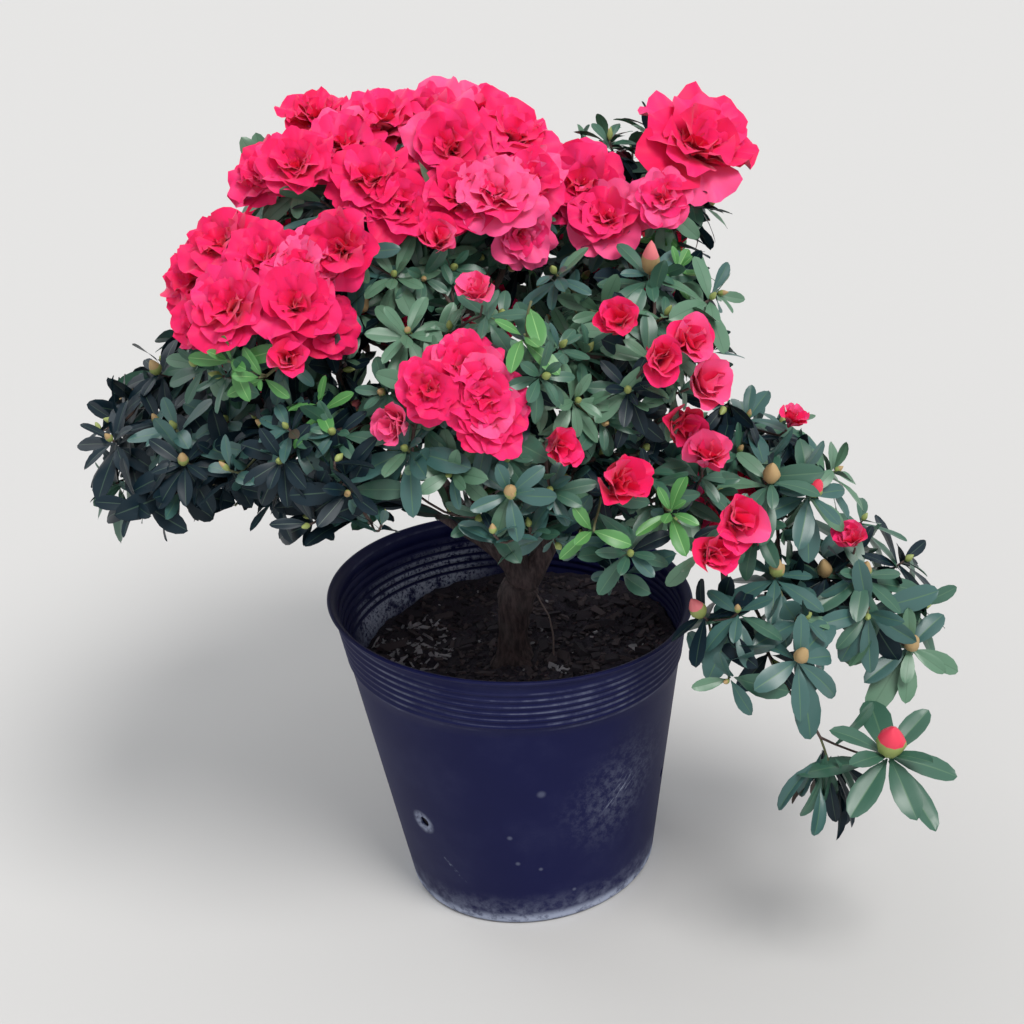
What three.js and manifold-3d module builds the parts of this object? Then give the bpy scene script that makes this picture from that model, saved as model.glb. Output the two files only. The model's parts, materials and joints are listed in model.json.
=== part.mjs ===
// An azalea shrub in a soft nursery pot, in millimetres, +Z up, its photographed side towards -Y.
// The origin is the middle of the pot's flat underside.
import * as THREE from 'three';
import { mergeVertices } from 'three/addons/utils/BufferGeometryUtils.js';
import Module from 'manifold-3d';

const wasm = await Module();
wasm.setup();

// Clearance kept between pieces that touch
const GAP = 0.35;
const DEG = Math.PI / 180;

// Pot: outer radii at the foot and under the lip, height, wall and lip
const FOOT_R = 67;
const FOOT_BEVEL = 3;
const NECK_R = 91.5;
const LIP_R = 95;
const LIP_DEPTH = 4;
const POT_H = 166;
const WALL = 1.6;
const FLOOR = 2;
const POT_SIDES = 36;

// The soft pot is pushed out of true: its rim stands higher on the left and at the front, and has
// moved to the right
const RIM_RISE_LEFT = 7 * DEG;
const RIM_RISE_FRONT = 2 * DEG;
const RIM_SHIFT = 5.5;

// Drain holes in the wall, the first one where the photo shows it, and in the floor
const DRAIN_COUNT = 3;
const DRAIN_R = 3;
const DRAIN_Z = 60;
const DRAIN_SIDES = 8;
const DRAIN_FIRST = 221 * DEG;
const FLOOR_DRAIN_COUNT = 4;
const FLOOR_DRAIN_R = 4;
const FLOOR_DRAIN_REACH = 46;

// Soil: its level in the pot
const SOIL_Z = 130;

// Trunk: where it stands in the soil, where it forks, and its radii with the flare at the soil
const TRUNK_FOOT = new THREE.Vector3(4, -8, SOIL_Z);
const FORK = new THREE.Vector3(13, -6, 178);
const TRUNK_LEAN = 3;
const FLARE_R = 12;
const STEM_R = 7.5;
const FORK_R = 10;
const TRUNK_SIDES = 16;
const TRUNK_STEPS = 9;
const TRUNK_SUNK = 8;

// Boughs: sides, rings, and where one bends, as a share of its length
const BOUGH_SIDES = 8;
const BOUGH_STEPS = 6;
const BOUGH_BEND = 0.45;

// Foliage: how finely and how unevenly a mass is made
const MASS_DETAIL = 3;
const SMALL_MASS_DETAIL = 2;
const SMALL_MASS = 47;
const LUMP_WAVES = 7;
const LUMP_DEPTH = 0.075;

const COLOURS = {
  pot: 0x1d2030,
  soil: 0x2a211d,
  bark: 0x54403a,
  leaf: 0x34543f,
  blossom: 0xd92447,
};
const FINISH = {
  pot: 0.5,
  soil: 0.95,
  bark: 0.9,
  leaf: 0.6,
  blossom: 0.7,
};

// Masses of foliage. The middle of each: bearing round the trunk in degrees (0 right, 90 back,
// 270 the photographed side), reach out from the pot's axis and height. Its half sizes: long
// outwards, wide across, thick upwards. Droop is how far its outer end hangs, in degrees.
const MASSES = [
  { name: 'foliage_top', slot: 'blossom', bearing: 172, reach: 24, height: 388, long: 76, wide: 74, thick: 48, droop: 0 },
  { name: 'foliage_upper_left', slot: 'blossom', bearing: 209, reach: 95, height: 362, long: 52, wide: 56, thick: 42, droop: 18 },
  { name: 'foliage_upper_front', slot: 'leaf', bearing: 268, reach: 104, height: 330, long: 50, wide: 60, thick: 44, droop: 15 },
  { name: 'foliage_upper_right_front', slot: 'leaf', bearing: 318, reach: 106, height: 338, long: 46, wide: 50, thick: 40, droop: 18 },
  { name: 'foliage_upper_right', slot: 'blossom', bearing: 8, reach: 92, height: 374, long: 46, wide: 56, thick: 44, droop: 12 },
  { name: 'foliage_upper_back', slot: 'leaf', bearing: 84, reach: 98, height: 350, long: 54, wide: 62, thick: 42, droop: 15 },
  { name: 'foliage_upper_back_left', slot: 'leaf', bearing: 140, reach: 90, height: 336, long: 50, wide: 52, thick: 40, droop: 15 },
  { name: 'foliage_left', slot: 'leaf', bearing: 187, reach: 146, height: 290, long: 54, wide: 64, thick: 40, droop: 25 },
  { name: 'foliage_left_front', slot: 'leaf', bearing: 231, reach: 118, height: 308, long: 46, wide: 54, thick: 36, droop: 22 },
  { name: 'foliage_front', slot: 'leaf', bearing: 282, reach: 112, height: 291, long: 40, wide: 46, thick: 34, droop: 25 },
  { name: 'foliage_right_front', slot: 'leaf', bearing: 309, reach: 124, height: 262, long: 44, wide: 48, thick: 38, droop: 25 },
  { name: 'foliage_right', slot: 'leaf', bearing: 338, reach: 148, height: 244, long: 46, wide: 50, thick: 36, droop: 30 },
  { name: 'foliage_right_skirt', slot: 'leaf', bearing: 319, reach: 166, height: 188, long: 40, wide: 40, thick: 28, droop: 40 },
  { name: 'foliage_right_outer', slot: 'leaf', bearing: 341, reach: 198, height: 182, long: 42, wide: 40, thick: 28, droop: 45 },
  { name: 'foliage_right_tip', slot: 'leaf', bearing: 326, reach: 216, height: 130, long: 42, wide: 42, thick: 25, droop: 30 },
  { name: 'foliage_right_inner', slot: 'leaf', bearing: 16, reach: 80, height: 304, long: 44, wide: 56, thick: 42, droop: 15 },
  { name: 'foliage_right_back', slot: 'leaf', bearing: 46, reach: 128, height: 282, long: 50, wide: 62, thick: 42, droop: 25 },
  { name: 'foliage_back', slot: 'leaf', bearing: 90, reach: 152, height: 280, long: 52, wide: 62, thick: 40, droop: 25 },
  { name: 'foliage_left_back', slot: 'leaf', bearing: 138, reach: 146, height: 280, long: 52, wide: 62, thick: 40, droop: 25 },
];

// Boughs, each into one mass, from the trunk's fork or from a share of the way along another
// bough: radii at its foot and tip, how steeply it sets off in degrees above the level, and what
// share of the way to the middle of its mass it aims for
const BOUGHS = [
  { name: 'bough_main', to: 'foliage_top', foot: 7, tip: 3, rise: 80, share: 0.85 },
  { name: 'bough_right', to: 'foliage_upper_right', foot: 6, tip: 2.6, rise: 52, share: 0.9 },
  { name: 'bough_left_upright', to: 'foliage_upper_left', foot: 3.8, tip: 2.2, rise: 66, share: 0.9 },
  { name: 'bough_left_low', to: 'foliage_left', foot: 2.2, tip: 1.6, rise: 66, share: 0.8 },
  { name: 'bough_front', to: 'foliage_upper_front', from: 'bough_main', along: 0.25, foot: 4.2, tip: 2.2, rise: 40, share: 0.8 },
  { name: 'bough_right_front', to: 'foliage_right_front', from: 'bough_right', along: 0.16, foot: 3.8, tip: 2, rise: 38, share: 0.8 },
  { name: 'bough_right_low', to: 'foliage_right', from: 'bough_right', along: 0.32, foot: 4, tip: 2.2, rise: 28, share: 0.8 },
  { name: 'bough_back', to: 'foliage_upper_back', from: 'bough_main', along: 0.18, foot: 4.4, tip: 2.2, rise: 50, share: 0.9 },
  { name: 'bough_back_left', to: 'foliage_left_back', from: 'bough_left_upright', along: 0.22, foot: 3.2, tip: 2, rise: 40, share: 0.8 },
  { name: 'bough_back_right', to: 'foliage_right_back', from: 'bough_right', along: 0.24, foot: 3.8, tip: 2, rise: 46, share: 0.8 },
];

const part = new THREE.Group();

// A seeded source of numbers between 0 and 1
function random(seed) {
  let state = seed;
  return () => {
    state = (state * 1664525 + 1013904223) % 4294967296;
    return state / 4294967296;
  };
}

function solidOf(geometry) {
  const bare = geometry.clone();
  bare.deleteAttribute('normal');
  bare.deleteAttribute('uv');
  const merged = mergeVertices(bare, 1e-3);
  const shape = { numProp: 3, vertProperties: merged.attributes.position.array, triVerts: new Uint32Array(merged.index.array) };
  return new wasm.Manifold(new wasm.Mesh(shape));
}

function geometryOf(solid) {
  const shape = solid.getMesh();
  const geometry = new THREE.BufferGeometry();
  geometry.setAttribute('position', new THREE.BufferAttribute(shape.vertProperties, 3));
  geometry.setIndex(new THREE.BufferAttribute(shape.triVerts, 1));
  return geometry;
}

function addNode(name, slot, solid) {
  const material = new THREE.MeshStandardMaterial({ color: COLOURS[slot], roughness: FINISH[slot], metalness: 0 });
  const mesh = new THREE.Mesh(geometryOf(solid), material);
  mesh.name = name;
  part.add(mesh);
}

// Moves each point of a shape in step with its height, so that the rim tilts and shifts and the foot
// stays flat
function pushOutOfTrue(geometry) {
  const at = geometry.attributes.position;
  for (let i = 0; i < at.count; i += 1) {
    const share = at.getZ(i) / POT_H;
    const rise = -at.getX(i) * Math.tan(RIM_RISE_LEFT) - at.getY(i) * Math.tan(RIM_RISE_FRONT);
    at.setZ(i, at.getZ(i) + rise * share);
    at.setX(i, at.getX(i) + RIM_SHIFT * share);
  }
  return geometry;
}

// A body turned about Z from a profile of [radius, height] pairs
function turned(profile, sides) {
  const points = profile.map(([radius, height]) => new THREE.Vector2(radius, height));
  return new THREE.LatheGeometry(points, sides).rotateX(Math.PI / 2);
}

// The outer radius of the pot's wall at a height
function wallRadius(height) {
  return THREE.MathUtils.mapLinear(height, FOOT_BEVEL, POT_H - LIP_DEPTH, FOOT_R, NECK_R);
}

function drainHoles() {
  const holes = [];
  for (let i = 0; i < DRAIN_COUNT; i += 1) {
    const hole = new THREE.CylinderGeometry(DRAIN_R, DRAIN_R, 10 * WALL, DRAIN_SIDES);
    hole.rotateZ(Math.PI / 2);
    hole.translate(wallRadius(DRAIN_Z), 0, DRAIN_Z);
    hole.rotateZ(DRAIN_FIRST + i * 2 * Math.PI / DRAIN_COUNT);
    holes.push(solidOf(pushOutOfTrue(hole)));
  }
  for (let i = 0; i < FLOOR_DRAIN_COUNT; i += 1) {
    const hole = new THREE.CylinderGeometry(FLOOR_DRAIN_R, FLOOR_DRAIN_R, 4 * FLOOR, DRAIN_SIDES);
    hole.rotateX(Math.PI / 2);
    hole.translate(FLOOR_DRAIN_REACH, 0, 0);
    hole.rotateZ(DRAIN_FIRST + i * 2 * Math.PI / FLOOR_DRAIN_COUNT);
    holes.push(solidOf(hole));
  }
  return holes;
}

function makePot() {
  const neck = POT_H - LIP_DEPTH;
  const profile = [
    [0, 0],
    [FOOT_R - FOOT_BEVEL, 0],
    [FOOT_R, FOOT_BEVEL],
    [NECK_R, neck],
    [LIP_R, neck],
    [LIP_R, POT_H],
    [wallRadius(POT_H) - WALL, POT_H],
    [wallRadius(FLOOR) - WALL, FLOOR],
    [0, FLOOR],
  ];
  const shell = solidOf(pushOutOfTrue(turned(profile, POT_SIDES)));
  return drainHoles().reduce((body, hole) => body.subtract(hole), shell);
}

function makeSoil() {
  const low = FLOOR + GAP;
  const profile = [
    [0, low],
    [wallRadius(low) - WALL - GAP, low],
    [wallRadius(POT_H) - WALL - GAP, POT_H],
    [0, POT_H],
  ];
  const filling = solidOf(pushOutOfTrue(turned(profile, POT_SIDES)));
  const below = new THREE.BoxGeometry(4 * LIP_R, 4 * LIP_R, 2 * SOIL_Z);
  return filling.intersect(solidOf(below));
}

// A round limb along a curve. radiusAt gives its radius at a share of the way along it, and grow
// thickens and lengthens it all round.
function limb(curve, radiusAt, sides, steps, grow = 0) {
  const profile = [[0, 0]];
  for (let i = 0; i <= steps; i += 1) profile.push([1, i / steps]);
  profile.push([0, 1]);
  const body = turned(profile, sides);
  const frames = curve.computeFrenetFrames(steps);
  const at = body.attributes.position;
  for (let i = 0; i < at.count; i += 1) {
    const share = THREE.MathUtils.clamp(at.getZ(i), 0, 1);
    const ring = Math.round(share * steps);
    const radius = radiusAt(share) + grow;
    const point = curve.getPointAt(share);
    point.addScaledVector(frames.normals[ring], at.getX(i) * radius);
    point.addScaledVector(frames.binormals[ring], at.getY(i) * radius);
    point.addScaledVector(frames.tangents[ring], Math.sign(share - 0.5) * grow);
    at.setXYZ(i, point.x, point.y, point.z);
  }
  return solidOf(body);
}

// The trunk narrows from its flare and widens again below the fork
function trunkRadius(share) {
  const height = Math.max(0, share * (FORK.z - SOIL_Z + TRUNK_SUNK) - TRUNK_SUNK);
  const flare = (FLARE_R - STEM_R) * Math.exp(-height / 5);
  const spread = (FORK_R - STEM_R) * THREE.MathUtils.smoothstep(share, 0.5, 0.95);
  const shoulder = share > 0.99 ? 0.6 : 1;
  return (STEM_R + flare + spread) * shoulder;
}

function makeTrunk(grow) {
  const low = TRUNK_FOOT.clone().setZ(SOIL_Z - TRUNK_SUNK);
  const middle = TRUNK_FOOT.clone().lerp(FORK, 0.5);
  middle.x -= TRUNK_LEAN;
  const curve = new THREE.CatmullRomCurve3([low, middle, FORK]);
  return limb(curve, trunkRadius, TRUNK_SIDES, TRUNK_STEPS, grow);
}

// The direction out from the trunk at a bearing, and the middle of a mass
function outwards(bearing) {
  return new THREE.Vector3(Math.cos(bearing * DEG), Math.sin(bearing * DEG), 0);
}

function middleOf(mass) {
  return outwards(mass.bearing).multiplyScalar(mass.reach).setZ(mass.height);
}

// Long and short waves that swell and pinch a mass in its own way
function unevenness(seed) {
  const next = random(seed);
  const waves = [];
  for (let i = 0; i < LUMP_WAVES; i += 1) {
    const facing = new THREE.Vector3(next() - 0.5, next() - 0.5, next() - 0.5).normalize();
    waves.push({ facing, rate: 2.2 + i * 0.9, phase: next() * 2 * Math.PI, depth: LUMP_DEPTH / (1 + i * 0.25) });
  }
  return (direction) => waves.reduce((sum, wave) => {
    return sum + wave.depth * Math.sin(wave.rate * direction.dot(wave.facing) * 2 + wave.phase);
  }, 1);
}

function makeMass(mass, seed, grow) {
  const swell = unevenness(seed);
  const small = Math.min(mass.long, mass.wide) < SMALL_MASS || mass.thick < SMALL_MASS / 1.5;
  const body = new THREE.IcosahedronGeometry(1, small ? SMALL_MASS_DETAIL : MASS_DETAIL);
  const at = body.attributes.position;
  const scale = 1 + grow / mass.thick;
  const direction = new THREE.Vector3();
  for (let i = 0; i < at.count; i += 1) {
    direction.fromBufferAttribute(at, i).normalize();
    direction.multiplyScalar(swell(direction) * scale);
    at.setXYZ(i, direction.x, direction.y, direction.z);
  }
  body.scale(mass.long, mass.wide, mass.thick);
  body.rotateY(mass.droop * DEG);
  body.rotateZ(mass.bearing * DEG);
  const middle = middleOf(mass);
  body.translate(middle.x, middle.y, middle.z);
  return solidOf(body);
}

// Where a bough starts: in the trunk's head, or part of the way along the bough that it leaves
function startOf(bough) {
  if (!bough.from) return FORK.clone().setZ(FORK.z - FORK_R * 0.6);
  return boughCurve(BOUGHS.find((other) => other.name === bough.from)).getPointAt(bough.along);
}

// A bough sets off at its own rise and bends over to its mass
function boughCurve(bough) {
  const mass = MASSES.find((candidate) => candidate.name === bough.to);
  const foot = startOf(bough);
  const tip = foot.clone().lerp(middleOf(mass), bough.share);
  const flat = tip.clone().sub(foot).setZ(0).normalize();
  const run = tip.distanceTo(foot) * BOUGH_BEND;
  const knee = foot.clone().addScaledVector(flat, run * Math.cos(bough.rise * DEG));
  knee.z += run * Math.sin(bough.rise * DEG);
  return new THREE.QuadraticBezierCurve3(foot, knee, tip);
}

function makeBough(bough, grow) {
  const radiusAt = (share) => THREE.MathUtils.lerp(bough.foot, bough.tip, share);
  return limb(boughCurve(bough), radiusAt, BOUGH_SIDES, BOUGH_STEPS, grow);
}

const soil = makeSoil();
addNode('pot', 'pot', makePot());
addNode('soil', 'soil', soil);

const groundClearance = new THREE.BoxGeometry(4 * LIP_R, 4 * LIP_R, 2 * (SOIL_Z + GAP));
addNode('trunk', 'bark', makeTrunk(0).subtract(solidOf(groundClearance)));

const grownMasses = MASSES.map((mass, i) => makeMass(mass, i + 1, GAP));

// Each bough is cut back from the trunk, from the boughs before it and from every mass
const grownLimbs = [makeTrunk(GAP)];
for (const bough of BOUGHS) {
  const taken = [...grownLimbs, ...grownMasses];
  addNode(bough.name, 'bark', taken.reduce((body, other) => body.subtract(other), makeBough(bough, 0)));
  grownLimbs.push(makeBough(bough, GAP));
}

// Each mass is cut back from the masses before it
MASSES.forEach((mass, i) => {
  const taken = grownMasses.slice(0, i);
  addNode(mass.name, mass.slot, taken.reduce((body, other) => body.subtract(other), makeMass(mass, i + 1, 0)));
});

export default part;
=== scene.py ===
"""A potted azalea shrub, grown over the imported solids. Lengths are in millimetres until a mesh is made."""

import json
import math

import bpy
import numpy as np
from mathutils import Matrix, Vector, noise
from mathutils.bvhtree import BVHTree

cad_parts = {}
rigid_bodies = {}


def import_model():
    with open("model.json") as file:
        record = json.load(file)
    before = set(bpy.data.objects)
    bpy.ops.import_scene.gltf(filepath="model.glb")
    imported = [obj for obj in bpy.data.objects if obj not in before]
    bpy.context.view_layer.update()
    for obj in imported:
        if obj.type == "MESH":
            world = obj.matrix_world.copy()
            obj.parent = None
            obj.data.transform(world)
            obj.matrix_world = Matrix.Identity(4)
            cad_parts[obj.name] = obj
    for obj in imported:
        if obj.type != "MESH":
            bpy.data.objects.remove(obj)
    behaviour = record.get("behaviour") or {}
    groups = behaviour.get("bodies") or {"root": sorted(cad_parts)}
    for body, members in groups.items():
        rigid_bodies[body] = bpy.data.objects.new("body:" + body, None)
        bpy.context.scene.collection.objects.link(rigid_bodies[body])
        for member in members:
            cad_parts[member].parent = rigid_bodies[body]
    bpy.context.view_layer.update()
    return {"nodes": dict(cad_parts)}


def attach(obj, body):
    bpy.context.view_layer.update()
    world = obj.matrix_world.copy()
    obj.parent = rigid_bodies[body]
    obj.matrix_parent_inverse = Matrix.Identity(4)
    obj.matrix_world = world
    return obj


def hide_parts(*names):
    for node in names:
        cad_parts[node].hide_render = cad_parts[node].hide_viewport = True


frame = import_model()

MM = 0.001
TURN = 2 * math.pi
GOLDEN = math.radians(137.5)
UP = np.array([0.0, 0.0, 1.0])
rng = np.random.default_rng(20)

# The photograph's camera in the part's frame: its place, turn and focal length in pixels
PHOTO_SIZE = 1024
PHOTO_FOCAL = 1050
PHOTO_PLACE = np.array([0.0, -1152.3, 846.0])
PHOTO_PITCH = math.radians(23.9)
PHOTO_ROLL = math.radians(-1.5)
PHOTO_YAW = math.radians(-13.6)

# The render's camera stands there too, turned to the plant and zoomed in. CLIP is its nearest and farthest
# distance in metres
AIM = np.array([12.0, 0.0, 214.0])
ZOOM = 2.42
SENSOR = 36
CLIP = (0.05, 20)

# Pot, as in the part
FOOT_R = 67
FOOT_BEVEL = 3
NECK_R = 91.5
LIP_R = 95
LIP_DEPTH = 4
POT_H = 166
WALL = 1.5
WALL_SLOPE = (NECK_R - FOOT_R) / (POT_H - LIP_DEPTH - FOOT_BEVEL)
FLOOR = 2
RIM_RISE_LEFT = math.radians(7)
RIM_RISE_FRONT = math.radians(2)
RIM_SHIFT = 5.5
DRAIN_COUNT = 3
DRAIN_R = 3
DRAIN_Z = 60
DRAIN_FIRST = math.radians(221)
FLOOR_DRAIN_COUNT = 4
FLOOR_DRAIN_R = 4
FLOOR_DRAIN_REACH = 46
DRILL_SIDES = 20
POT_SIDES = 240
SHARP_FROM = math.radians(50)
RIB_COUNT = 6
RIB_PITCH = 4.2
RIB_TOP = 157
RIB_DEPTH = 0.9
# Dents of the rim: how many round it, depth and phase
DENTS = ((2, 0.5, 0.6), (3, 0.35, 2.0))
# A rib of the wall: height from its middle and share of its depth
RIB_SHAPE = ((-1.5, 0.0), (-0.8, 0.75), (-0.2, 1.0), (0.4, 0.75), (1.1, 0.0))

# Soil: heights of its top and its underside, how far it stays off the pot's wall, and its net
SOIL_Z = 130
SOIL_FOOT = FLOOR + 1.0
SOIL_CLEAR = 0.7
SOIL_SIDES = 180
SOIL_RINGS = 74
# Its surface: how far it is sunk, pitch and height of its bumps, and its heap at the stem
SOIL_SUNK = 1.0
SOIL_BUMPS = ((0.045, 3.0), (0.16, 1.6), (0.5, 1.1))
SOIL_HEAP = 3.0
SOIL_HEAP_SPREAD = 500
# Dead twig by the stem: its foot and its places above it
DRY_FOOT = np.array([24.0, -12.0, SOIL_Z + 1.0])
DRY_PLACES = ((0, 0, 0), (1.2, 0, 12), (0.4, 1, 24), (-3.5, 2, 34), (-6, 3, 42))
DRY_RADII = (0.55, 0.4)
DRY_STEPS = 22

# Trunk, as in the part, with how deep it stands in the soil and how fast its foot and its lobes narrow
TRUNK_FOOT = np.array([4.0, -8.0, SOIL_Z])
TRUNK_DEPTH = 6
FORK = np.array([13.0, -6.0, 178.0])
TRUNK_LEAN = 3
FLARE_R = 12
FLARE_FALL = 6
STEM_R = 7.5
FORK_R = 10
LOBE_DEPTH = 0.20
LOBE_FALL = 7
# Sides of the limbs, and depth of their bark against the radius
TRUNK_SIDES = 40
TRUNK_RELIEF = 0.13
BOUGH_SIDES = 18
BOUGH_RELIEF = 0.12

# Middles of the masses of foliage that boughs aim for: bearing, reach and height
MIDDLES = {
    "foliage_top": (172, 24, 388),
    "foliage_upper_right": (8, 92, 374),
    "foliage_upper_left": (209, 95, 362),
    "foliage_left": (187, 146, 290),
    "foliage_upper_front": (268, 104, 330),
    "foliage_right_front": (309, 124, 262),
    "foliage_right": (338, 148, 244),
    "foliage_upper_back": (84, 98, 350),
    "foliage_left_back": (138, 146, 280),
    "foliage_right_back": (46, 128, 282),
}
# Boughs, as in the part: mass, parent bough, share along it, radii, rise and share of the way
BOUGHS = {
    "bough_main": ("foliage_top", None, 0, 7, 3, 80, 0.85),
    "bough_right": ("foliage_upper_right", None, 0, 6, 2.6, 52, 0.9),
    "bough_left_upright": ("foliage_upper_left", None, 0, 3.8, 2.2, 66, 0.9),
    "bough_left_low": ("foliage_left", None, 0, 2.2, 1.6, 66, 0.8),
    "bough_front": ("foliage_upper_front", "bough_main", 0.25, 4.2, 2.2, 40, 0.8),
    "bough_right_front": ("foliage_right_front", "bough_right", 0.16, 3.8, 2, 38, 0.8),
    "bough_right_low": ("foliage_right", "bough_right", 0.32, 4, 2.2, 28, 0.8),
    "bough_back": ("foliage_upper_back", "bough_main", 0.18, 4.4, 2.2, 50, 0.9),
    "bough_back_left": ("foliage_left_back", "bough_left_upright", 0.22, 3.2, 2, 40, 0.8),
    "bough_back_right": ("foliage_right_back", "bough_right", 0.24, 3.8, 2, 46, 0.8),
}
BOUGH_BEND = 0.45

# Twigs: radius at one spray, how it grows with more, and its most. What turning costs a start against its
# length, the least length, and what a start costs where it is too near or another twig has ended
TWIG_R = 0.62
TWIG_GAIN = 0.40
TWIG_R_MOST = 2.6
TURN_COST = 0.55
TWIG_LEAST = 9
BARRED = 400

# The tints of leaves, as their places in LEAF_TINTS
# DARK mostly paints shade, and PALE partly paints light where it falls.
DARK, MID, BLUE, PALE, NEW, OLD = range(6)

# Where the photograph shows open blooms, in its pixels, with how wide each is in millimetres and how light
# its petals are, from 0 to 3
# The lightness paints the light on each bloom: lighter where light falls, and the highest values are painted
# highlights.
OPEN_BLOOMS = {
    "top_back_left": (221, 450, 44, 1.2),
    "top_left_edge": (195, 472, 42, 1.9),
    "top_left": (211, 472, 44, 1.6),
    "top_middle_left": (231, 464, 47, 1.8),
    "top_middle": (248, 455, 50, 1.9),
    "top_low_left": (243, 475, 47, 1.2),
    "top_back": (267, 450, 48, 2.7),
    "top_right_back": (289, 447, 50, 2.8),
    "top_right": (303, 461, 52, 1.9),
    "top_middle_right": (277, 464, 52, 1.9),
    "top_low": (257, 487, 44, 1.3),
    "top_low_middle": (281, 484, 47, 1.4),
    "top_low_right": (297, 484, 48, 3.2),
    "top_edge_right": (310, 477, 44, 1.9),
    "top_tongue": (307, 501, 38, 2.7),
    "left_high": (176, 503, 46, 1.5),
    "left_edge": (163, 517, 44, 1.2),
    "left_middle": (179, 530, 48, 1.8),
    "left_inner": (194, 510, 46, 1.7),
    "left_top_right": (211, 511, 42, 3.0),
    "left_right": (228, 507, 46, 1.5),
    "left_low": (208, 530, 48, 1.6),
    "left_low_right": (224, 537, 36, 1.1),
    "left_under": (161, 536, 34, 1.4),
    "front_high": (283, 555, 40, 2.1),
    "front": (291, 569, 44, 2.4),
    "front_low": (295, 579, 38, 1.6),
    "front_left": (267, 566, 36, 1.4),
    "right_of_top": (333, 480, 52, 1.9),
    "right_of_top_low": (343, 493, 48, 2.6),
    "far_right": (381, 468, 66, 1.4),
    "far_right_low": (367, 487, 34, 2.6),
}
# Half-open blooms, told the same way
HALF_OPEN = {
    "under_top": (272, 504, 25, 2.0),
    "front_high": (289, 527, 21, 3.0),
    "front_bud": (254, 581, 25, 3.3),
    "left_tip": (205, 553, 22, 2.0),
    "right_high": (349, 538, 25, 1.5),
    "cluster_left": (366, 554, 27, 1.6),
    "cluster_middle": (377, 547, 27, 2.1),
    "cluster_right": (383, 564, 29, 3.2),
    "pair_left": (373, 580, 29, 1.5),
    "pair_right": (385, 595, 28, 2.7),
    "front_right": (321, 589, 24, 1.8),
    "low_middle": (348, 606, 31, 1.4),
    "low_right": (398, 622, 31, 2.0),
    "low_right_under": (387, 635, 28, 1.5),
    "edge_high": (420, 580, 18, 2.4),
    "edge_low": (446, 629, 21, 2.4),
}
# Closed flower buds: how red each is, its length and width in millimetres, and how long its leaves are
# against the rest
# Some also give their leaves' tint, DARK painting the shade at the left.
BUDS = {
    "pink_under_far_right": (363, 512, 0.6, 20, 8, 0.8),
    "edge": (432, 608, 0.9, 13, 8, 1.0),
    "tan_edge": (413, 601, 0.1, 13, 8, 1.0),
    "tan_skirt": (415, 640, 0.0, 12, 7, 1.1),
    "tan_skirt_right": (434, 641, 0.2, 14, 7, 1.1),
    "yellow_skirt_high": (452, 641, 0.0, 12, 6, 1.0),
    "yellow_skirt": (471, 672, 0.0, 13, 8, 1.1),
    "red_tip": (463, 713, 0.8, 20, 14, 1.35),
    "pink_over_rim": (376, 658, 0.5, 13, 8, 1.1),
    "tan_low_skirt": (426, 678, 0.2, 12, 7, 1.2),
    "tan_over_pot": (302, 611, 0.1, 10, 6, 0.75, BLUE),
    "tan_by_left_blooms": (240, 531, 0.3, 12, 6, 0.75),
    "tan_left": (144, 557, 0.1, 10, 6, 0.9, DARK),
    "green_left": (157, 597, 0.0, 9, 5, 0.9, DARK),
    "yellow_by_top": (318, 491, 0.0, 12, 6, 0.5),
}
# Whorls of leaves that stand out, how long their leaves are against the rest, and their tint
# Their DARK tint paints shade where they lie in shade, and PALE paints light where it falls on them.
WHORLS = {
    "under_front_bud": (254, 590, 1.1, BLUE),
    "low_edge": (329, 640, 1.0, BLUE),
    "below_skirt": (391, 690, 1.1, BLUE),
    "left": (176, 577, 0.9, BLUE),
    "left_low": (199, 597, 0.9, DARK),
    "left_middle": (201, 579, 0.7, BLUE),
    "left_inner": (222, 583, 0.65, MID),
    "left_edge": (121, 585, 0.9, DARK),
    "front_low": (230, 612, 0.95, DARK),
    "under_right_blooms": (390, 525, 1.0, PALE),
    "right_shoulder": (404, 573, 1.1, BLUE),
    "skirt": (398, 655, 1.0, BLUE),
    "outer_skirt": (452, 662, 1.1, BLUE),
    "under_top_left": (252, 515, 0.75, PALE),
    "under_top": (266, 520, 0.7, MID),
    "under_top_right": (280, 514, 0.65, MID),
    "above_front": (276, 535, 0.65, PALE),
    "above_front_left": (258, 538, 0.75, PALE),
    "gap_left": (292, 512, 0.65, MID),
    "gap_right": (305, 517, 0.65, MID),
    "gap_low": (299, 530, 0.6, PALE),
    "gap_edge": (320, 514, 0.65, BLUE),
    "middle_high": (327, 545, 0.6, MID),
    "middle": (320, 560, 0.65, MID),
    "middle_low": (334, 570, 0.65, PALE),
    "middle_right": (352, 566, 0.7, DARK),
    "right_low": (362, 597, 0.75, MID),
    "hole_left": (344, 581, 0.75, MID),
    "hole_right": (355, 577, 0.75, DARK),
    "hole_low": (362, 588, 0.5, DARK),
}
# Sprays of pale new leaves, and how long they are against the rest
NEW_LEAVES = {
    "left_high": (177, 554, 0.8),
    "left_low": (191, 561, 0.7),
    "left_inner": (217, 570, 0.75),
    "front": (312, 528, 0.85),
    "front_low": (309, 542, 0.9),
    "right_high": (375, 514, 0.6),
    "right_heart": (369, 505, 0.5),
    "over_rim": (338, 626, 0.8),
    "skirt_high": (370, 616, 0.75),
}
# The spray of wilted leaves that hangs under the drooping tip
WILTED = (422, 722)

# Leaves: length and width against it, how far a tip may pass the masses and its share of that below them, and
# how far leaves stay clear of a bloom
LEAF_LENGTH = 32
LEAF_ASPECT = 0.40
LEAF_OVERHANG = 9
BELOW = 0.3
LEAF_CLEAR = 8
LEAF_TINTS = ("leaf_dark", "leaf_mid", "leaf_blue", "leaf_pale", "leaf_new", "leaf_old")
LEAF_RIBS = ("rib_dark", "rib_mid", "rib_mid", "rib_mid", "rib_new", "rib_dark")
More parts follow.
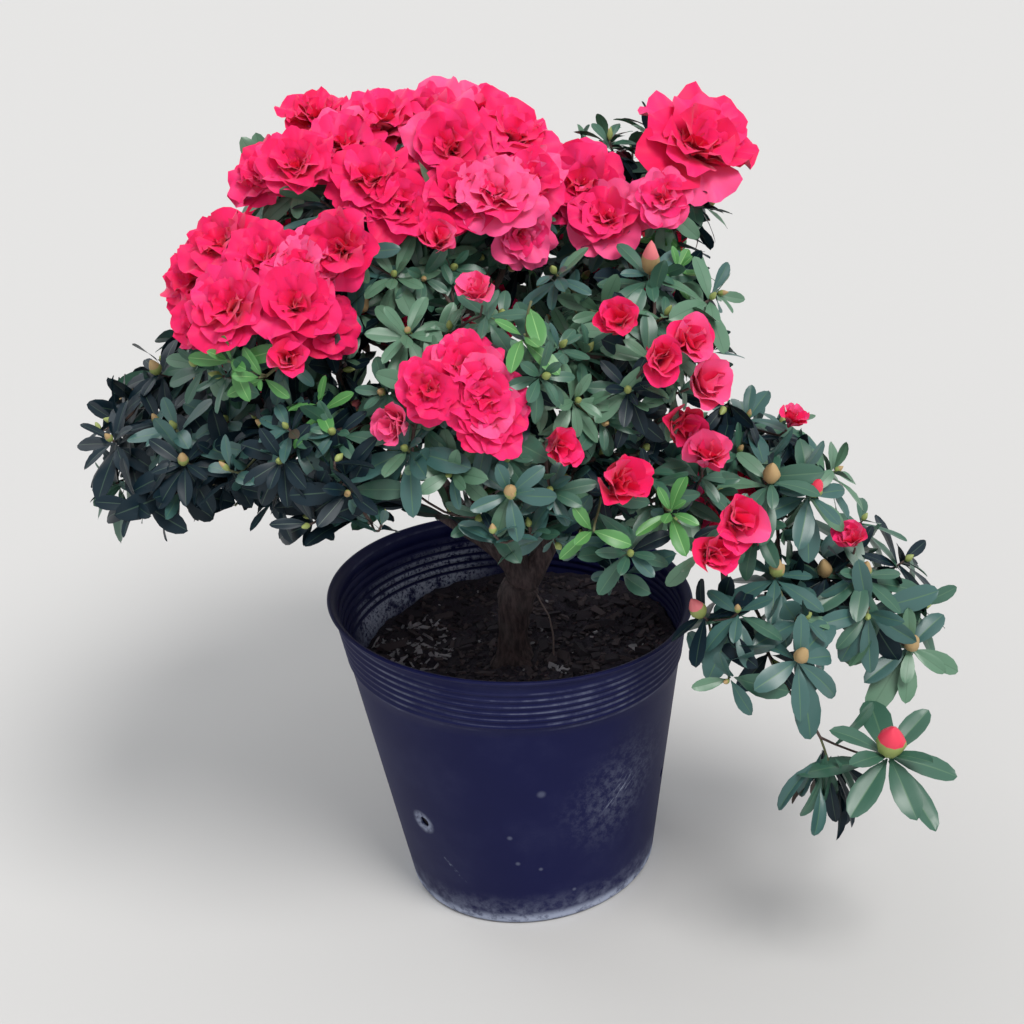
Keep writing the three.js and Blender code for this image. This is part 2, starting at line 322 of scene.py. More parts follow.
# A leaf's net: shares of its length, and of its half width, with the rib between the middle two
LEAF_ROWS = np.array([0, 0.10, 0.27, 0.47, 0.66, 0.83, 0.95, 1.0])
LEAF_COLUMNS = np.array([-1, -0.55, -0.055, 0.055, 0.55, 1])
# Looks of the foliage: spacing of the sprays and the leaves' least and greatest length against the rest,
# how far the leaves hang, and the odds of the first four tints
# LIT_LOOK and SHADED_LOOK paint light and shade: more PALE leaves on the lit masses, more DARK ones on the
# shaded.
USUAL_LOOK = (1, (0.6, 0.95), 0.14, (0.22, 0.34, 0.30, 0.14))
LIT_LOOK = (1, (0.55, 0.80), 0.16, (0.05, 0.24, 0.19, 0.52))
SHADED_LOOK = (1, (0.7, 1.05), 0.26, (0.78, 0.08, 0.13, 0.01))
DROOP_ODDS = (0.20, 0.36, 0.26, 0.18)
MASS_LOOKS = {
    "foliage_right": (1.05, (0.75, 1.0), 0.30, (0.18, 0.34, 0.24, 0.24)),
    "foliage_right_skirt": (1.35, (0.9, 1.15), 0.62, DROOP_ODDS),
    "foliage_right_outer": (1.4, (0.95, 1.2), 0.48, DROOP_ODDS),
    "foliage_right_tip": (2.7, (1.0, 1.2), 0.30, DROOP_ODDS),
}
for name in ("top", "upper_front", "upper_right", "upper_right_front"):
    MASS_LOOKS["foliage_" + name] = LIT_LOOK
for name in ("left", "left_back", "left_front", "back"):
    MASS_LOOKS["foliage_" + name] = SHADED_LOOK

# How the leaves of each kind of spray stand: number, length against the rest, innermost and outermost
# spread, and how far below the spray's end they start
SPRAY_LEAVES = {
    "new": (7, 0.85, 22, 66, 0),
    "open": (6, 0.95, 70, 98, 5),
    "half": (7, 0.95, 62, 90, 5),
    "inner": (8, 1.0, 50, 85, 0),
    "bud": (10, 1.0, 48, 84, 0),
    "leafy": (11, 1.0, 34, 86, 0),
}
# Single leaves along the stem where there are not three
STEM_LEAVES = {"inner": 2, "leafy": 4}
# Wilted leaves: their number, tints, least and greatest length, width against it, fold and overhang
WILTED_COUNT = 19
WILTED_TINTS = (DARK, BLUE, DARK, MID, OLD)
WILTED_LENGTH = (22, 34)
WILTED_ASPECT = 0.36
WILTED_FOLD = 0.7
WILTED_OVERHANG = 200

# How a spray that the photograph places stands: how much it lifts to the light and faces the camera
STANDS = {
    "open": (0.5, 0.45),
    "half": (0.5, 0.35),
    "bud": (0.8, 0.3),
    "leafy": (0.3, 0.35),
    "new": (0.5, 0.3),
}
# A gap between the masses: half its width in the photograph's pixels, and its depth
HOLE_REACH = 10
HOLE_DEPTH = 60
# Distances from the camera along a ray that misses the foliage, at which the nearest of it is sought
MISS_STEPS = range(1000, 1500, 10)
# How near over a surface another mass buries it
BURIED_UNDER = 9

# Sprays that the photograph doesn't place: spacing on a mass and inside it, places tried on and in each mass,
# how deep the inner ones are, the width of a group of blooms, how far foliage reaches over a hidden one, how
# high such blooms start and are sure, and from what mark a shoot has an open or half-open one
SPRAY_SPACING = 21.5
INNER_SPACING = 18.5
TRIES = 1500
INNER_TRIES = 300
INNER_DEPTH = 10
GROUP_SIZE = 46
BLOOM_REACH = 22
BLOOM_HEIGHTS = (330, 430)
OPEN_FROM = 0.34
HALF_FROM = 0.26
# Their odds outside the groups, width of blooms and length of buds, and how light or red they are
HIDDEN_ODDS = {"half": 0.05, "bud": 0.08, "new": 0.03}
SHOOT_SIZES = {"open": (42, 54), "half": (20, 30), "bud": (9, 14)}
SHOOT_SHADES = {"open": (1.2, 2.8), "half": (0.9, 2.0), "bud": (0, 0.9)}

# Petals: tints, places round the net, its rings, its middle's share of the length, and steps of its bend
PETAL_TINTS = ("petal_deep", "petal_rose", "petal_bright", "petal_light")
PETAL_AROUND = 22
PETAL_RINGS = (0.36, 0.64, 0.85, 1.0)
PETAL_MIDDLE = 0.46
PETAL_STEPS = 40
# Whorls of a bloom from the outside in: petals, length and width against the bloom, angles from the
# axis at foot and tip, ruffle, cup and lift
WHORLS_OF = {
    "open": (
        (5, 0.55, 0.54, 42, 102, 0.070, 0.10, 0.00),
        (5, 0.50, 0.48, 32, 84, 0.085, 0.13, 0.02),
        (5, 0.42, 0.42, 22, 68, 0.105, 0.16, 0.04),
        (4, 0.32, 0.33, 8, 48, 0.13, 0.20, 0.05),
        (3, 0.20, 0.24, 0, 26, 0.13, 0.25, 0.06),
    ),
    "half": (
        (5, 0.78, 0.70, 14, 48, 0.060, 0.25, 0.00),
        (4, 0.66, 0.54, 6, 22, 0.070, 0.28, 0.05),
    ),
}
# How far out of its foliage each kind of bloom starts
BLOOM_LIFT = {"open": 0, "half": 2}
# Blooms that the photograph places. Theirs are the first sprays
PHOTO_BLOOMS = len(OPEN_BLOOMS) + len(HALF_OPEN)

# Buds: tints, net, share of it that is scales, and least and greatest length and width on a leafy shoot
BUD_TINTS = ("bud_green", "bud_tan", "bud_red", "bud_pink")
GREEN, TAN, RED, PINK = range(4)
BUD_ROWS = 8
BUD_SIDES = 10
BUD_SCALES = 0.42
SHOOT_BUD = ((4.5, 7.5), (2.4, 3.6))

# A chip of bark as a box
CHIP_CORNERS = np.array([[x, y, z] for x in (-1, 1) for y in (-1, 1) for z in (-1, 1)], float)
CHIP_FACES = [[0, 1, 3, 2], [4, 6, 7, 5], [0, 4, 5, 1], [2, 3, 7, 6], [0, 2, 6, 4], [1, 5, 7, 3]]
CHIP_TINTS = ("chip_dark", "chip_brown", "chip_pale")
CHIP_TILT = 0.45
# The middle of the soil, and how far from it litter lies
LITTER_MIDDLE = (4, 0)
LITTER_R = 80
# Litter: how many, least and greatest of each side, tint, middle and how far it spreads
LITTER = (
    (900, (1.2, 4), (1, 3), (0.6, 2), 0, LITTER_MIDDLE, 82),
    (700, (1.4, 5), (1, 3), (0.5, 1.8), 1, LITTER_MIDDLE, 82),
    (110, (6, 13), (3, 7), (1.5, 4), 0, LITTER_MIDDLE, 80),
    (90, (6, 14), (2, 6), (1.2, 3), 1, LITTER_MIDDLE, 80),
    (50, (1.2, 3.5), (0.8, 2.4), (0.5, 1.3), 2, LITTER_MIDDLE, 82),
    (64, (3, 12), (0.8, 2.2), (0.6, 1.4), 2, (-50, 20), 27),
    (30, (2.5, 7), (2, 4.5), (0.5, 1), 2, (-50, 22), 24),
    (4, (6, 10), (3, 5), (0.6, 1), 2, (26, -20), 7),
    (2, (7, 10), (4, 5), (0.6, 1), 2, (67, -12), 4),
)

# The studio: the floor's side in metres, its colour, the sky's colour and strength, and each light's place,
# strength, spread in degrees and colour
FLOOR_SIZE = 60
FLOOR_COLOUR = (0.57, 0.565, 0.56)
SKY_COLOUR = (0.97, 0.985, 1.0, 1)
SKY = 0.70
LIGHTS = {
    "key": ((0.9, -1.3, 2.2), 2.3, 24, (1.0, 0.98, 0.95)),
    "back": ((-1.2, 1.5, 1.6), 0.5, 30, (0.94, 0.97, 1.0)),
}


def unit(v):
    v = np.asarray(v, float)
    return v / np.maximum(np.linalg.norm(v, axis=-1, keepdims=True), 1e-9)


def square_to(direction, wanted):
    """The unit vector nearest to wanted at right angles to direction."""
    return unit(wanted - np.sum(wanted * direction, -1, keepdims=True) * direction)


def turn_about(v, axis, angle):
    """v turned about a unit axis."""
    c, s = math.cos(angle), math.sin(angle)
    return v * c + np.cross(axis, v) * s + axis * (axis @ v) * (1 - c)


def any_side(direction):
    """Some unit vector at right angles to direction."""
    other = UP if abs(direction[2]) < 0.9 else np.array([1.0, 0, 0])
    return unit(np.cross(direction, other))


def ease(x, low, high):
    t = np.clip((np.asarray(x, float) - low) / (high - low), 0, 1)
    return t * t * (3 - 2 * t)


def level_way(bearing):
    return np.array([math.cos(bearing), math.sin(bearing), 0])


def round_angles(sides):
    return np.arange(sides) * TURN / sides


class Heap:
    """Gathers many small meshes into one."""

    def __init__(self):
        self.places, self.faces, self.looks, self.count = [], [], [], 0

    def add(self, places, faces, looks):
        """faces is an array, or a list where they have different numbers of corners."""
        places = np.asarray(places, float).reshape(-1, 3)
        if isinstance(faces, np.ndarray):
            self.faces += (faces + self.count).tolist()
        else:
            self.faces += [[corner + self.count for corner in face] for face in faces]
        self.places.append(places)
        self.looks += [looks] * len(faces) if np.isscalar(looks) else looks.tolist()
        self.count += len(places)

    def add_copies(self, places, faces, looks):
        """places holds one copy a row. Every copy has the same faces."""
        copies, each = places.shape[:2]
        starts = np.arange(copies)[:, None, None] * each
        self.add(places, (faces + starts).reshape(-1, faces.shape[1]), looks.reshape(-1))

    def mesh(self, name, bend=lambda places: places):
        """What it holds as a mesh in metres, its places first bent by a function."""
        mesh = bpy.data.meshes.new(name)
        mesh.from_pydata((bend(np.concatenate(self.places)) * MM).tolist(), [], self.faces)
        return mesh

    def piece(self, name, materials, slot, nodes=(), smooth=True):
        mesh = self.mesh(name)
        for material in materials:
            mesh.materials.append(MATERIALS[material])
        mesh.polygons.foreach_set("material_index", np.asarray(self.looks, np.int32))
        mesh.polygons.foreach_set("use_smooth", np.full(len(self.faces), smooth))
        mesh.update()
        return placed(bpy.data.objects.new(name, mesh), nodes)


def placed(obj, nodes):
    bpy.context.scene.collection.objects.link(obj)
    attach(obj, "root")
    if nodes:
        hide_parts(*nodes)
    return obj


class Batch:
    """Leaves or petals as rows of numbers and vectors, which become one mesh."""

    def __init__(self):
        self.rows = []

    def add(self, *row):
        self.rows.append(row)

    def columns(self):
        """Each number or vector of all the rows, as an array with a row for each."""
        return [np.array(column).reshape(len(self.rows), -1) for column in zip(*self.rows)]


def grid_faces(rows, columns, closed=False):
    """Quads of a grid of rows by columns, its columns joined round if closed."""
    across = columns if closed else columns - 1
    r, c = np.meshgrid(np.arange(rows - 1), np.arange(across), indexing="ij")
    here, beside = r * columns + c, r * columns + (c + 1) % columns
    return np.stack([here, beside, beside + columns, here + columns], -1).reshape(-1, 4)


def capped_faces(rows, sides):
    """Faces of a body of rings, closed at its ends on the two places that follow the rings."""
    faces = grid_faces(rows, sides, closed=True).tolist()
    low, high, last = rows * sides, rows * sides + 1, (rows - 1) * sides
    for i in range(sides):
        j = (i + 1) % sides
        faces += [[low, j, i], [high, last + i, last + j]]
    return faces


def smooth_path(points, count):
    """count evenly spaced points along a polyline."""
    points = np.asarray(points, float)
    length = np.r_[0, np.cumsum(np.linalg.norm(np.diff(points, axis=0), axis=1))]
    at = np.linspace(0, length[-1], count)
    return np.stack([np.interp(at, length, points[:, i]) for i in range(3)], -1)


def tube_rings(points, radii, sides, relief=None):
    """Rings of a round tube along points. relief changes the radius by ring and side."""
    along = unit(np.gradient(points, axis=0))
    side = any_side(along[0])
    angles = round_angles(sides)
    rings = []
    for i, direction in enumerate(along):
        side = square_to(direction, side)
        ring = np.outer(np.cos(angles), side) + np.outer(np.sin(angles), np.cross(direction, side))
        size = radii[i] * (relief[i][:, None] if relief is not None else 1)
        rings.append(points[i] + ring * size)
    return np.array(rings)


def add_tube(heap, points, radii, sides, look, relief=None):
    rings = tube_rings(points, radii, sides, relief)
    places = np.concatenate([rings.reshape(-1, 3), points[:1], points[-1:]])
    heap.add(places, capped_faces(len(rings), sides), look)


# Materials


def plain(name, colour, rough, sockets=()):
    """One colour all over, with the shader's own constants."""
    material = bpy.data.materials.new(name)
    material.use_nodes = True
    inputs = material.node_tree.nodes["Principled BSDF"].inputs
    for socket, value in {"Base Color": (*colour, 1), "Roughness": rough, **dict(sockets)}.items():
        inputs[socket].default_value = value
    return material


class Amount:
    """A number that a material's nodes work out, for sums with the usual signs. a | b is the greater."""

    def __init__(self, graph, socket):
        self.graph, self.socket = graph, socket

    def __add__(self, other):
        return self.graph.maths("ADD", self, other)

    def __sub__(self, other):
        return self.graph.maths("SUBTRACT", self, other)

    def __mul__(self, other):
        return self.graph.maths("MULTIPLY", self, other)

    def __or__(self, other):
        return self.graph.maths("MAXIMUM", self, other)


class Graph:
    """Short names for the nodes of a patterned material."""

    def __init__(self, name):
        self.material = bpy.data.materials.new(name)
        self.material.use_nodes = True
        self.tree = self.material.node_tree
        self.inputs = self.tree.nodes["Principled BSDF"].inputs
        self.place = self.node("TexCoord", "Object")

    def node(self, kind, output, inputs=(), **settings):
        """Adds a node with these settings and inputs, and gives one of its outputs."""
        node = self.tree.nodes.new("ShaderNode" + kind)
        for name, value in settings.items():
            setattr(node, name, value)
        for name, value in dict(inputs).items():
            self.put(node.inputs[name], value)
        return Amount(self, node.outputs[output])

    def put(self, socket, value):
        if isinstance(value, Amount):
            self.tree.links.new(value.socket, socket)
        else:
            socket.default_value = value

    def noise(self, scale, detail, rough, place=None, stretch=None):
        place = place or self.place
        if stretch:
            place = self.node("Mapping", "Vector", {"Scale": stretch, "Vector": place})
        looks = {"Scale": scale, "Detail": detail, "Roughness": rough, "Vector": place}
        return self.node("TexNoise", "Fac", looks)

    def spread(self, value, low, high, out_low=0.0, out_high=1.0):
        limits = {"Value": value, "From Min": low, "From Max": high, "To Min": out_low, "To Max": out_high}
        return self.node("MapRange", "Result", limits, interpolation_type="SMOOTHSTEP")

    def patches(self, scale, detail, rough, *limits):
        return self.spread(self.noise(scale, detail, rough), *limits)

    def maths(self, operation, a, b=0.0):
        return self.node("Math", "Value", {0: a, 1: b}, operation=operation)

    def mix(self, share, a, b):
        return self.node("Mix", "Result", {"Factor": share, "A": a, "B": b}, data_type="RGBA")

    def distance(self, place):
        """How far in metres the surface is from a place in millimetres."""
        ends = {0: self.place, 1: [c * MM for c in place]}
        return self.node("VectorMath", "Value", ends, operation="DISTANCE")

    def finish(self, colour, rough, height, depth, strength=1.0):
        """Colour, roughness and a bump of some depth, and gives the material."""
        bump = {"Strength": strength, "Distance": depth, "Height": height}
        looks = {"Base Color": colour, "Roughness": rough, "Normal": self.node("Bump", "Normal", bump)}
        for name, value in looks.items():
            self.put(self.inputs[name], value)
        return self.material


# Marks on the pot that the photograph shows: the drain hole, the middle of the scuffs, pale spots with their
# radii, and the ends of a scratch. The scuffs are in metres, and BEARING_X is where bearings are taken from
BEARING_X = 0.004
DRAIN_PLACE = (-56, -49, 62.6)
SCUFF_BEARING = math.radians(55)
SCUFF_R = 0.079
SCUFF_Z = 0.077
SPOTS = {
    "high": ((7.7, -80.3, 91.8), 3.2),
    "middle": ((-11.5, -74.7, 63.2), 2.0),
    "low_left": ((-9.1, -72.5, 44.6), 1.8),
    "low_right": ((2.5, -72.5, 39.2), 1.6),
    "near_foot": ((18.7, -67.1, 19.5), 1.6),
}
SCRATCH = ((-47.6, -53.7, 41.9), (-37.4, -59.2, 27.2))
PLASTIC = ((0.0030, 0.0046, 0.044, 1), (0.0058, 0.0078, 0.058, 1))
# The pale of the dust and lime, also used for the painted highlight on the rib crests
DUST_AND_HIGHLIGHT = (0.34, 0.38, 0.50, 1)


def lime(g, bearing, z):
    """Lime left by water on the inner wall at the back left."""
    back_left = g.spread(bearing, 1.55, 1.9) * g.spread(bearing, 3.0, 2.7)
    tide = g.spread(z, 0.122, 0.134) * g.spread(z, 0.158, 0.143)
    return tide * back_left * g.patches(95, 5, 0.7, 0.34, 0.50) * g.patches(560, 4, 0.7, 0.36, 0.54)


def dust_at_foot(g, z):
    """A pale band along the foot under a haze."""
    band = g.spread(z, 0.0095, 0.0030) * g.patches(150, 5, 0.7, 0.32, 0.54, 0.25, 1.0)
    return band | g.spread(z, 0.024, 0.004, 0.0, 0.42) * g.patches(110, 5, 0.7, 0.34, 0.74)


def scuffs(g, bearing, z):
    """Strokes that rise to the right, in a haze, low on the right."""
    arc, rise = (bearing + SCUFF_BEARING) * SCUFF_R, z - SCUFF_Z
    along, across = (arc + rise) * math.sqrt(0.5), (rise - arc) * math.sqrt(0.5)
    far, wide = g.maths("ABSOLUTE", along), g.maths("ABSOLUTE", across)
    place = g.node("CombineXYZ", "Vector", {"X": along, "Y": across})
    strokes = g.spread(g.noise(1, 5, 0.65, place, (75, 520, 1)), 0.48, 0.68, 0.0, 0.75)
    strokes = strokes * g.spread(far, 0.018, 0.006) * g.spread(wide, 0.009, 0.002)
    haze = g.spread(far, 0.048, 0.0, 0.0, 0.20) * g.spread(wide, 0.036, 0.0)
    return strokes | haze * g.patches(230, 6, 0.75, 0.40, 0.64)


def small_marks(g):
    """Dust round the drain hole, the spots and the broken scratch, which is where the way over a point is
    hardly longer than straight from end to end."""
    ring = g.spread(g.distance(DRAIN_PLACE), 0.0085, 0.0045, 0.0, 0.7)
    marks = ring * g.patches(420, 4, 0.7, 0.34, 0.58, 0.15, 1.0)
    for place, size in SPOTS.values():
        marks = marks | g.spread(g.distance(place), size * MM, size * 0.2 * MM, 0.0, 0.22)
    longer = g.distance(SCRATCH[0]) + g.distance(SCRATCH[1]) - math.dist(*SCRATCH) * MM
    return marks | g.spread(longer, 0.00013, 0.00001) * g.patches(420, 4, 0.7, 0.45, 0.60) * 0.4


# A pale tint in patches on the crests of the ribs: a painted highlight where light catches them.
def painted_highlight_on_ribs(g, lifted):
    crest = g.maths("SINE", lifted * (TURN / (RIB_PITCH * MM)))
    ribbed = g.spread(lifted, 0.133, 0.136) * g.spread(lifted, 0.162, 0.159)
    return ribbed * g.spread(crest, 0.2, 1.0) * g.patches(45, 5, 0.7, 0.42, 0.66, 0.05, 0.32)


def pot_material():
    """Dull plastic, lime inside, dust and painted highlight on ribs outside. lifted: height without the rim's
    lean.
    """
    g = Graph("pot_plastic")
    x, y, z = (g.node("SeparateXYZ", axis, {"Vector": g.place}) for axis in "XYZ")
    shifted = x - z * (RIM_SHIFT / POT_H)
    lifted = z + shifted * z * (math.tan(RIM_RISE_LEFT) / (POT_H * MM))
    wall = lifted * WALL_SLOPE + (FOOT_R - FOOT_BEVEL * WALL_SLOPE - WALL / 2) * MM
    inside = g.spread(wall - g.maths("SQRT", shifted * shifted + y * y), -0.0003, 0.0003)
    outside = g.maths("SUBTRACT", 1.0, inside)
    bearing = g.maths("ARCTAN2", y, x - BEARING_X)
    fine, cloud = g.noise(900, 5, 0.7), g.noise(26, 4, 0.6)
    # Real dust, scuffs and spots, with the painted highlight on the rib crests
    dust_and_highlight = dust_at_foot(g, z) | scuffs(g, bearing, z) | small_marks(g) | painted_highlight_on_ribs(g, lifted)
    faint = g.spread(cloud, 0.46, 0.8, 0.0, 0.03) * g.spread(fine, 0.3, 0.7, 0.4, 1.0)
    dust_and_highlight = outside * dust_and_highlight | faint | lime(g, bearing, z) * inside * 0.9
    dust_and_highlight = g.maths("MINIMUM", dust_and_highlight, 1.0)
    g.inputs["Specular IOR Level"].default_value = 0.15
    colour = g.mix(dust_and_highlight, g.mix(cloud, *PLASTIC), DUST_AND_HIGHLIGHT)
    return g.finish(colour, g.spread(dust_and_highlight, 0.0, 0.6, 0.55, 0.85), fine * 0.4 + dust_and_highlight, 0.0002, 0.4)


def bark_material():
    g = Graph("bark_grey_brown")
    ridge = g.noise(420, 5, 0.65, stretch=(1, 1, 0.22))
    colour = g.mix(g.spread(ridge, 0.35, 0.68), (0.026, 0.016, 0.018, 1), (0.090, 0.060, 0.060, 1))
    colour = g.mix(g.patches(70, 3, 0.5, 0.45, 0.72, 0.0, 0.4), colour, (0.105, 0.088, 0.088, 1))
    height = ridge + g.noise(1600, 4, 0.7) * 0.3
    return g.finish(colour, g.spread(ridge, 0.3, 0.7, 0.95, 0.8), height, 0.0007, 0.8)


def soil_material():
    g = Graph("peat_and_bark")
    crumb = g.noise(700, 6, 0.75)
    colour = g.mix(g.spread(crumb, 0.35, 0.7), (0.013, 0.012, 0.023, 1), (0.054, 0.042, 0.062, 1))
    colour = g.mix(g.patches(120, 4, 0.6, 0.5, 0.75, 0.0, 0.5), colour, (0.050, 0.038, 0.042, 1))
    return g.finish(colour, 0.95, crumb, 0.0015)


LEAF_GLOSS = {"Specular IOR Level": 0.5}
PETAL_FEEL = {
    "Sheen Weight": 0.15,
    "Specular IOR Level": 0.2,
    "Subsurface Weight": 0.3,
    "Subsurface Radius": (1.0, 0.12, 0.25),
    "Subsurface Scale": 0.004,
}
# Materials of one colour: their colour, roughness and other constants
PLAIN = {
    # leaf_dark is a painted-shade tint and leaf_pale partly a painted-light one; the other leaf tints are the
    # leaves' own.
    "leaf_dark": ((0.006, 0.018, 0.028), 0.42, {"Specular IOR Level": 0.25}),
    "leaf_mid": ((0.043, 0.120, 0.082), 0.36, LEAF_GLOSS),
    "leaf_blue": ((0.046, 0.120, 0.112), 0.36, LEAF_GLOSS),
    "leaf_pale": ((0.098, 0.205, 0.130), 0.38, LEAF_GLOSS),
    "leaf_new": ((0.085, 0.26, 0.075), 0.38, LEAF_GLOSS),
    "leaf_old": ((0.060, 0.045, 0.032), 0.55),
    "rib_dark": ((0.026, 0.062, 0.046), 0.45),
    "rib_mid": ((0.075, 0.165, 0.100), 0.45),
    "rib_new": ((0.21, 0.44, 0.15), 0.45),
    # The deeper petal tints also paint shade in throats and inner whorls, and petal_light also paints
    # highlights.
    "petal_deep": ((0.80, 0.006, 0.095), 0.55, PETAL_FEEL),
    "petal_rose": ((0.88, 0.010, 0.125), 0.52, PETAL_FEEL),
    "petal_bright": ((0.93, 0.022, 0.170), 0.50, PETAL_FEEL),
    "petal_light": ((0.93, 0.085, 0.270), 0.50, PETAL_FEEL),
    "bud_green": ((0.30, 0.36, 0.11), 0.5),
    "bud_tan": ((0.44, 0.30, 0.14), 0.6),
    "bud_red": ((0.78, 0.04, 0.09), 0.45),
    "bud_pink": ((0.80, 0.20, 0.22), 0.5),
    "twig_brown": ((0.070, 0.044, 0.038), 0.8),
    "twig_green": ((0.12, 0.13, 0.06), 0.7),
    "twig_dry": ((0.20, 0.15, 0.14), 0.8),
    "chip_dark": ((0.024, 0.019, 0.027), 0.9),
    "chip_brown": ((0.060, 0.046, 0.052), 0.9),
    "chip_pale": ((0.33, 0.32, 0.35), 0.85),
}
MATERIALS = {name: plain(name, *row) for name, row in PLAIN.items()}
MATERIALS |= {"bark": bark_material(), "pot": pot_material(), "soil": soil_material()}


# Camera and the photograph's rays


def photo_axes():
    """The photograph's right, up and forward directions."""
    cp, sp = math.cos(PHOTO_PITCH), math.sin(PHOTO_PITCH)
    cr, sr = math.cos(PHOTO_ROLL), math.sin(PHOTO_ROLL)
    right, up, ahead = np.array([1.0, 0, 0]), np.array([0, sp, cp]), np.array([0, cp, -sp])
    turned = [right * cr + up * sr, up * cr - right * sr, ahead]
    return [turn_about(v, UP, PHOTO_YAW) for v in turned]


RIGHT, HIGH, AHEAD = photo_axes()


def make_camera():
    """Stands where the photographer stood, and turns the shortest way to the plant."""
    wanted = unit(AIM - PHOTO_PLACE)
    axis = np.cross(AHEAD, wanted)
    angle = math.asin(np.linalg.norm(axis))
    right, high = (turn_about(v, unit(axis), angle) for v in (RIGHT, HIGH))
    data = bpy.data.cameras.new("camera")
    data.sensor_width = SENSOR
    data.lens = PHOTO_FOCAL * ZOOM * SENSOR / PHOTO_SIZE
    data.clip_start, data.clip_end = CLIP
    camera = bpy.data.objects.new("camera", data)
    turned = Matrix((right, high, -wanted)).transposed().to_4x4()
    camera.matrix_world = Matrix.Translation(Vector(PHOTO_PLACE * MM)) @ turned
    bpy.context.scene.collection.objects.link(camera)
    bpy.context.scene.camera = camera


def photo_ray(column, row):
    across, down = ((pixel - PHOTO_SIZE / 2) / PHOTO_FOCAL for pixel in (column, row))
    return unit(AHEAD + across * RIGHT - down * HIGH)


# The masses as shapes to grow over


class Mass:
    """A foliage solid, in millimetres, with what growing over it needs."""

    def __init__(self, name):
        mesh = frame["nodes"][name].data
        mesh.calc_loop_triangles()
        self.name = name
        self.look = MASS_LOOKS.get(name, USUAL_LOOK)
        places = np.array([v.co for v in mesh.vertices]) / MM
        triangles = np.array([t.vertices for t in mesh.loop_triangles])
        self.tree = BVHTree.FromPolygons(places.tolist(), triangles.tolist())
        self.low, self.high = places.min(0), places.max(0)
        self.corners = [places[triangles[:, i]] for i in range(3)]
        a, b, c = self.corners
        across = np.cross(b - a, c - a)
        self.areas = np.linalg.norm(across, axis=1) / 2
        self.outward = unit(across)

    def scatter(self, count):
        """Random points on the surface, with the way out of it at each."""
        pick = rng.choice(len(self.areas), count, p=self.areas / self.areas.sum())
        u, v = rng.random(count), rng.random(count)
        flip = u + v > 1
        u[flip], v[flip] = 1 - u[flip], 1 - v[flip]
        a, b, c = (corner[pick] for corner in self.corners)
        return zip(a + (b - a) * u[:, None] + (c - a) * v[:, None], self.outward[pick])

    def holds(self, point):
        """Whether a point lies inside."""
        if (point < self.low).any() or (point > self.high).any():
            return False
        near, normal, _, _ = self.tree.find_nearest(Vector(point))
        return (near - Vector(point)).dot(normal) > 0


masses = [Mass(name) for name in sorted(frame["nodes"]) if name.startswith("foliage_")]


def reaches_out(place, limit):
    """Whether a leaf's tip passes all the masses by more than a limit, which is small below them."""
    for mass in masses:
        if mass.holds(place):
            return False
        near, _, _, distance = mass.tree.find_nearest(Vector(place), limit)
        if near is not None and (place[2] - near[2] > -0.6 * distance or distance < limit * BELOW):
            return False
    return True


def nearest_mass(point):
    """The mass whose surface is nearest, the place on it, the way out and how far it is."""
    found = []
    for mass in masses:
        near, normal, _, distance = mass.tree.find_nearest(Vector(point))
        found.append((mass, np.array(near), np.array(normal), distance))
    return min(found, key=lambda one: one[3])


def first_hit(column, row):
    """How far along the photograph's ray the foliage starts, with its mass and the way out there."""
    hits = []
    for mass in masses:
        near, normal, _, distance = mass.tree.ray_cast(Vector(PHOTO_PLACE), Vector(photo_ray(column, row)))
        if near is not None:
            hits.append((distance, mass, np.array(normal)))
    return min(hits, key=lambda hit: hit[0], default=None)


def seen_place(column, row):
    """Where the photograph's ray meets the foliage: over a gap level with its rim, beside it where it is
    nearest."""
    ray = photo_ray(column, row)
    hit = first_hit(column, row)
    ways = ((HOLE_REACH, 0), (-HOLE_REACH, 0), (0, HOLE_REACH), (0, -HOLE_REACH))
    sides = [first_hit(column + across, row + down) for across, down in ways]
    rim = min((side for side in sides if side), key=lambda side: side[0], default=None)
    if hit and rim and hit[0] - rim[0] > HOLE_DEPTH:
        hit = rim
    if hit:
        return hit[1], PHOTO_PLACE + ray * hit[0], hit[2]
    found = [nearest_mass(PHOTO_PLACE + ray * length) for length in MISS_STEPS]
    return min(found, key=lambda one: one[3])[:3]


def buried(point, out):
    """Whether another mass covers this place on a surface."""
    start = Vector(point + out * 1.5)
    return any(m.tree.ray_cast(start, Vector(out), BURIED_UNDER)[0] is not None for m in masses)


# Limbs


def bezier(foot, knee, tip, count=60):
    t = np.linspace(0, 1, count)[:, None]
    return smooth_path((1 - t) ** 2 * foot + 2 * t * (1 - t) * knee + t * t * tip, count)


def middle_of(name):
    bearing, reach, height = MIDDLES[name]
    return level_way(math.radians(bearing)) * reach + UP * height


def bough_path(name):
    """The bough's middle line, worked out as in the part."""
    target, parent, share, _, _, rise, way = BOUGHS[name]
    foot = FORK - UP * FORK_R * 0.6
    if parent:
        whole = bough_path(parent)
        foot = whole[round(share * (len(whole) - 1))]
    tip = foot + (middle_of(target) - foot) * way
    flat = unit((tip - foot) * [1, 1, 0])
    run, climb = np.linalg.norm(tip - foot) * BOUGH_BEND, math.radians(rise)
    knee = foot + flat * run * math.cos(climb) + UP * run * math.sin(climb)
    return bezier(foot, knee, tip)


def trunk_path(count=70):
    low = TRUNK_FOOT - UP * TRUNK_DEPTH
    middle = (TRUNK_FOOT + FORK) / 2 - [TRUNK_LEAN, 0, 0]
    t = np.linspace(0, 1, count)[:, None]
    top = FORK + [0, 0, -2]
    return smooth_path(low * (1 - t) * (1 - 2 * t) + middle * 4 * t * (1 - t) + top * t * (2 * t - 1), count)


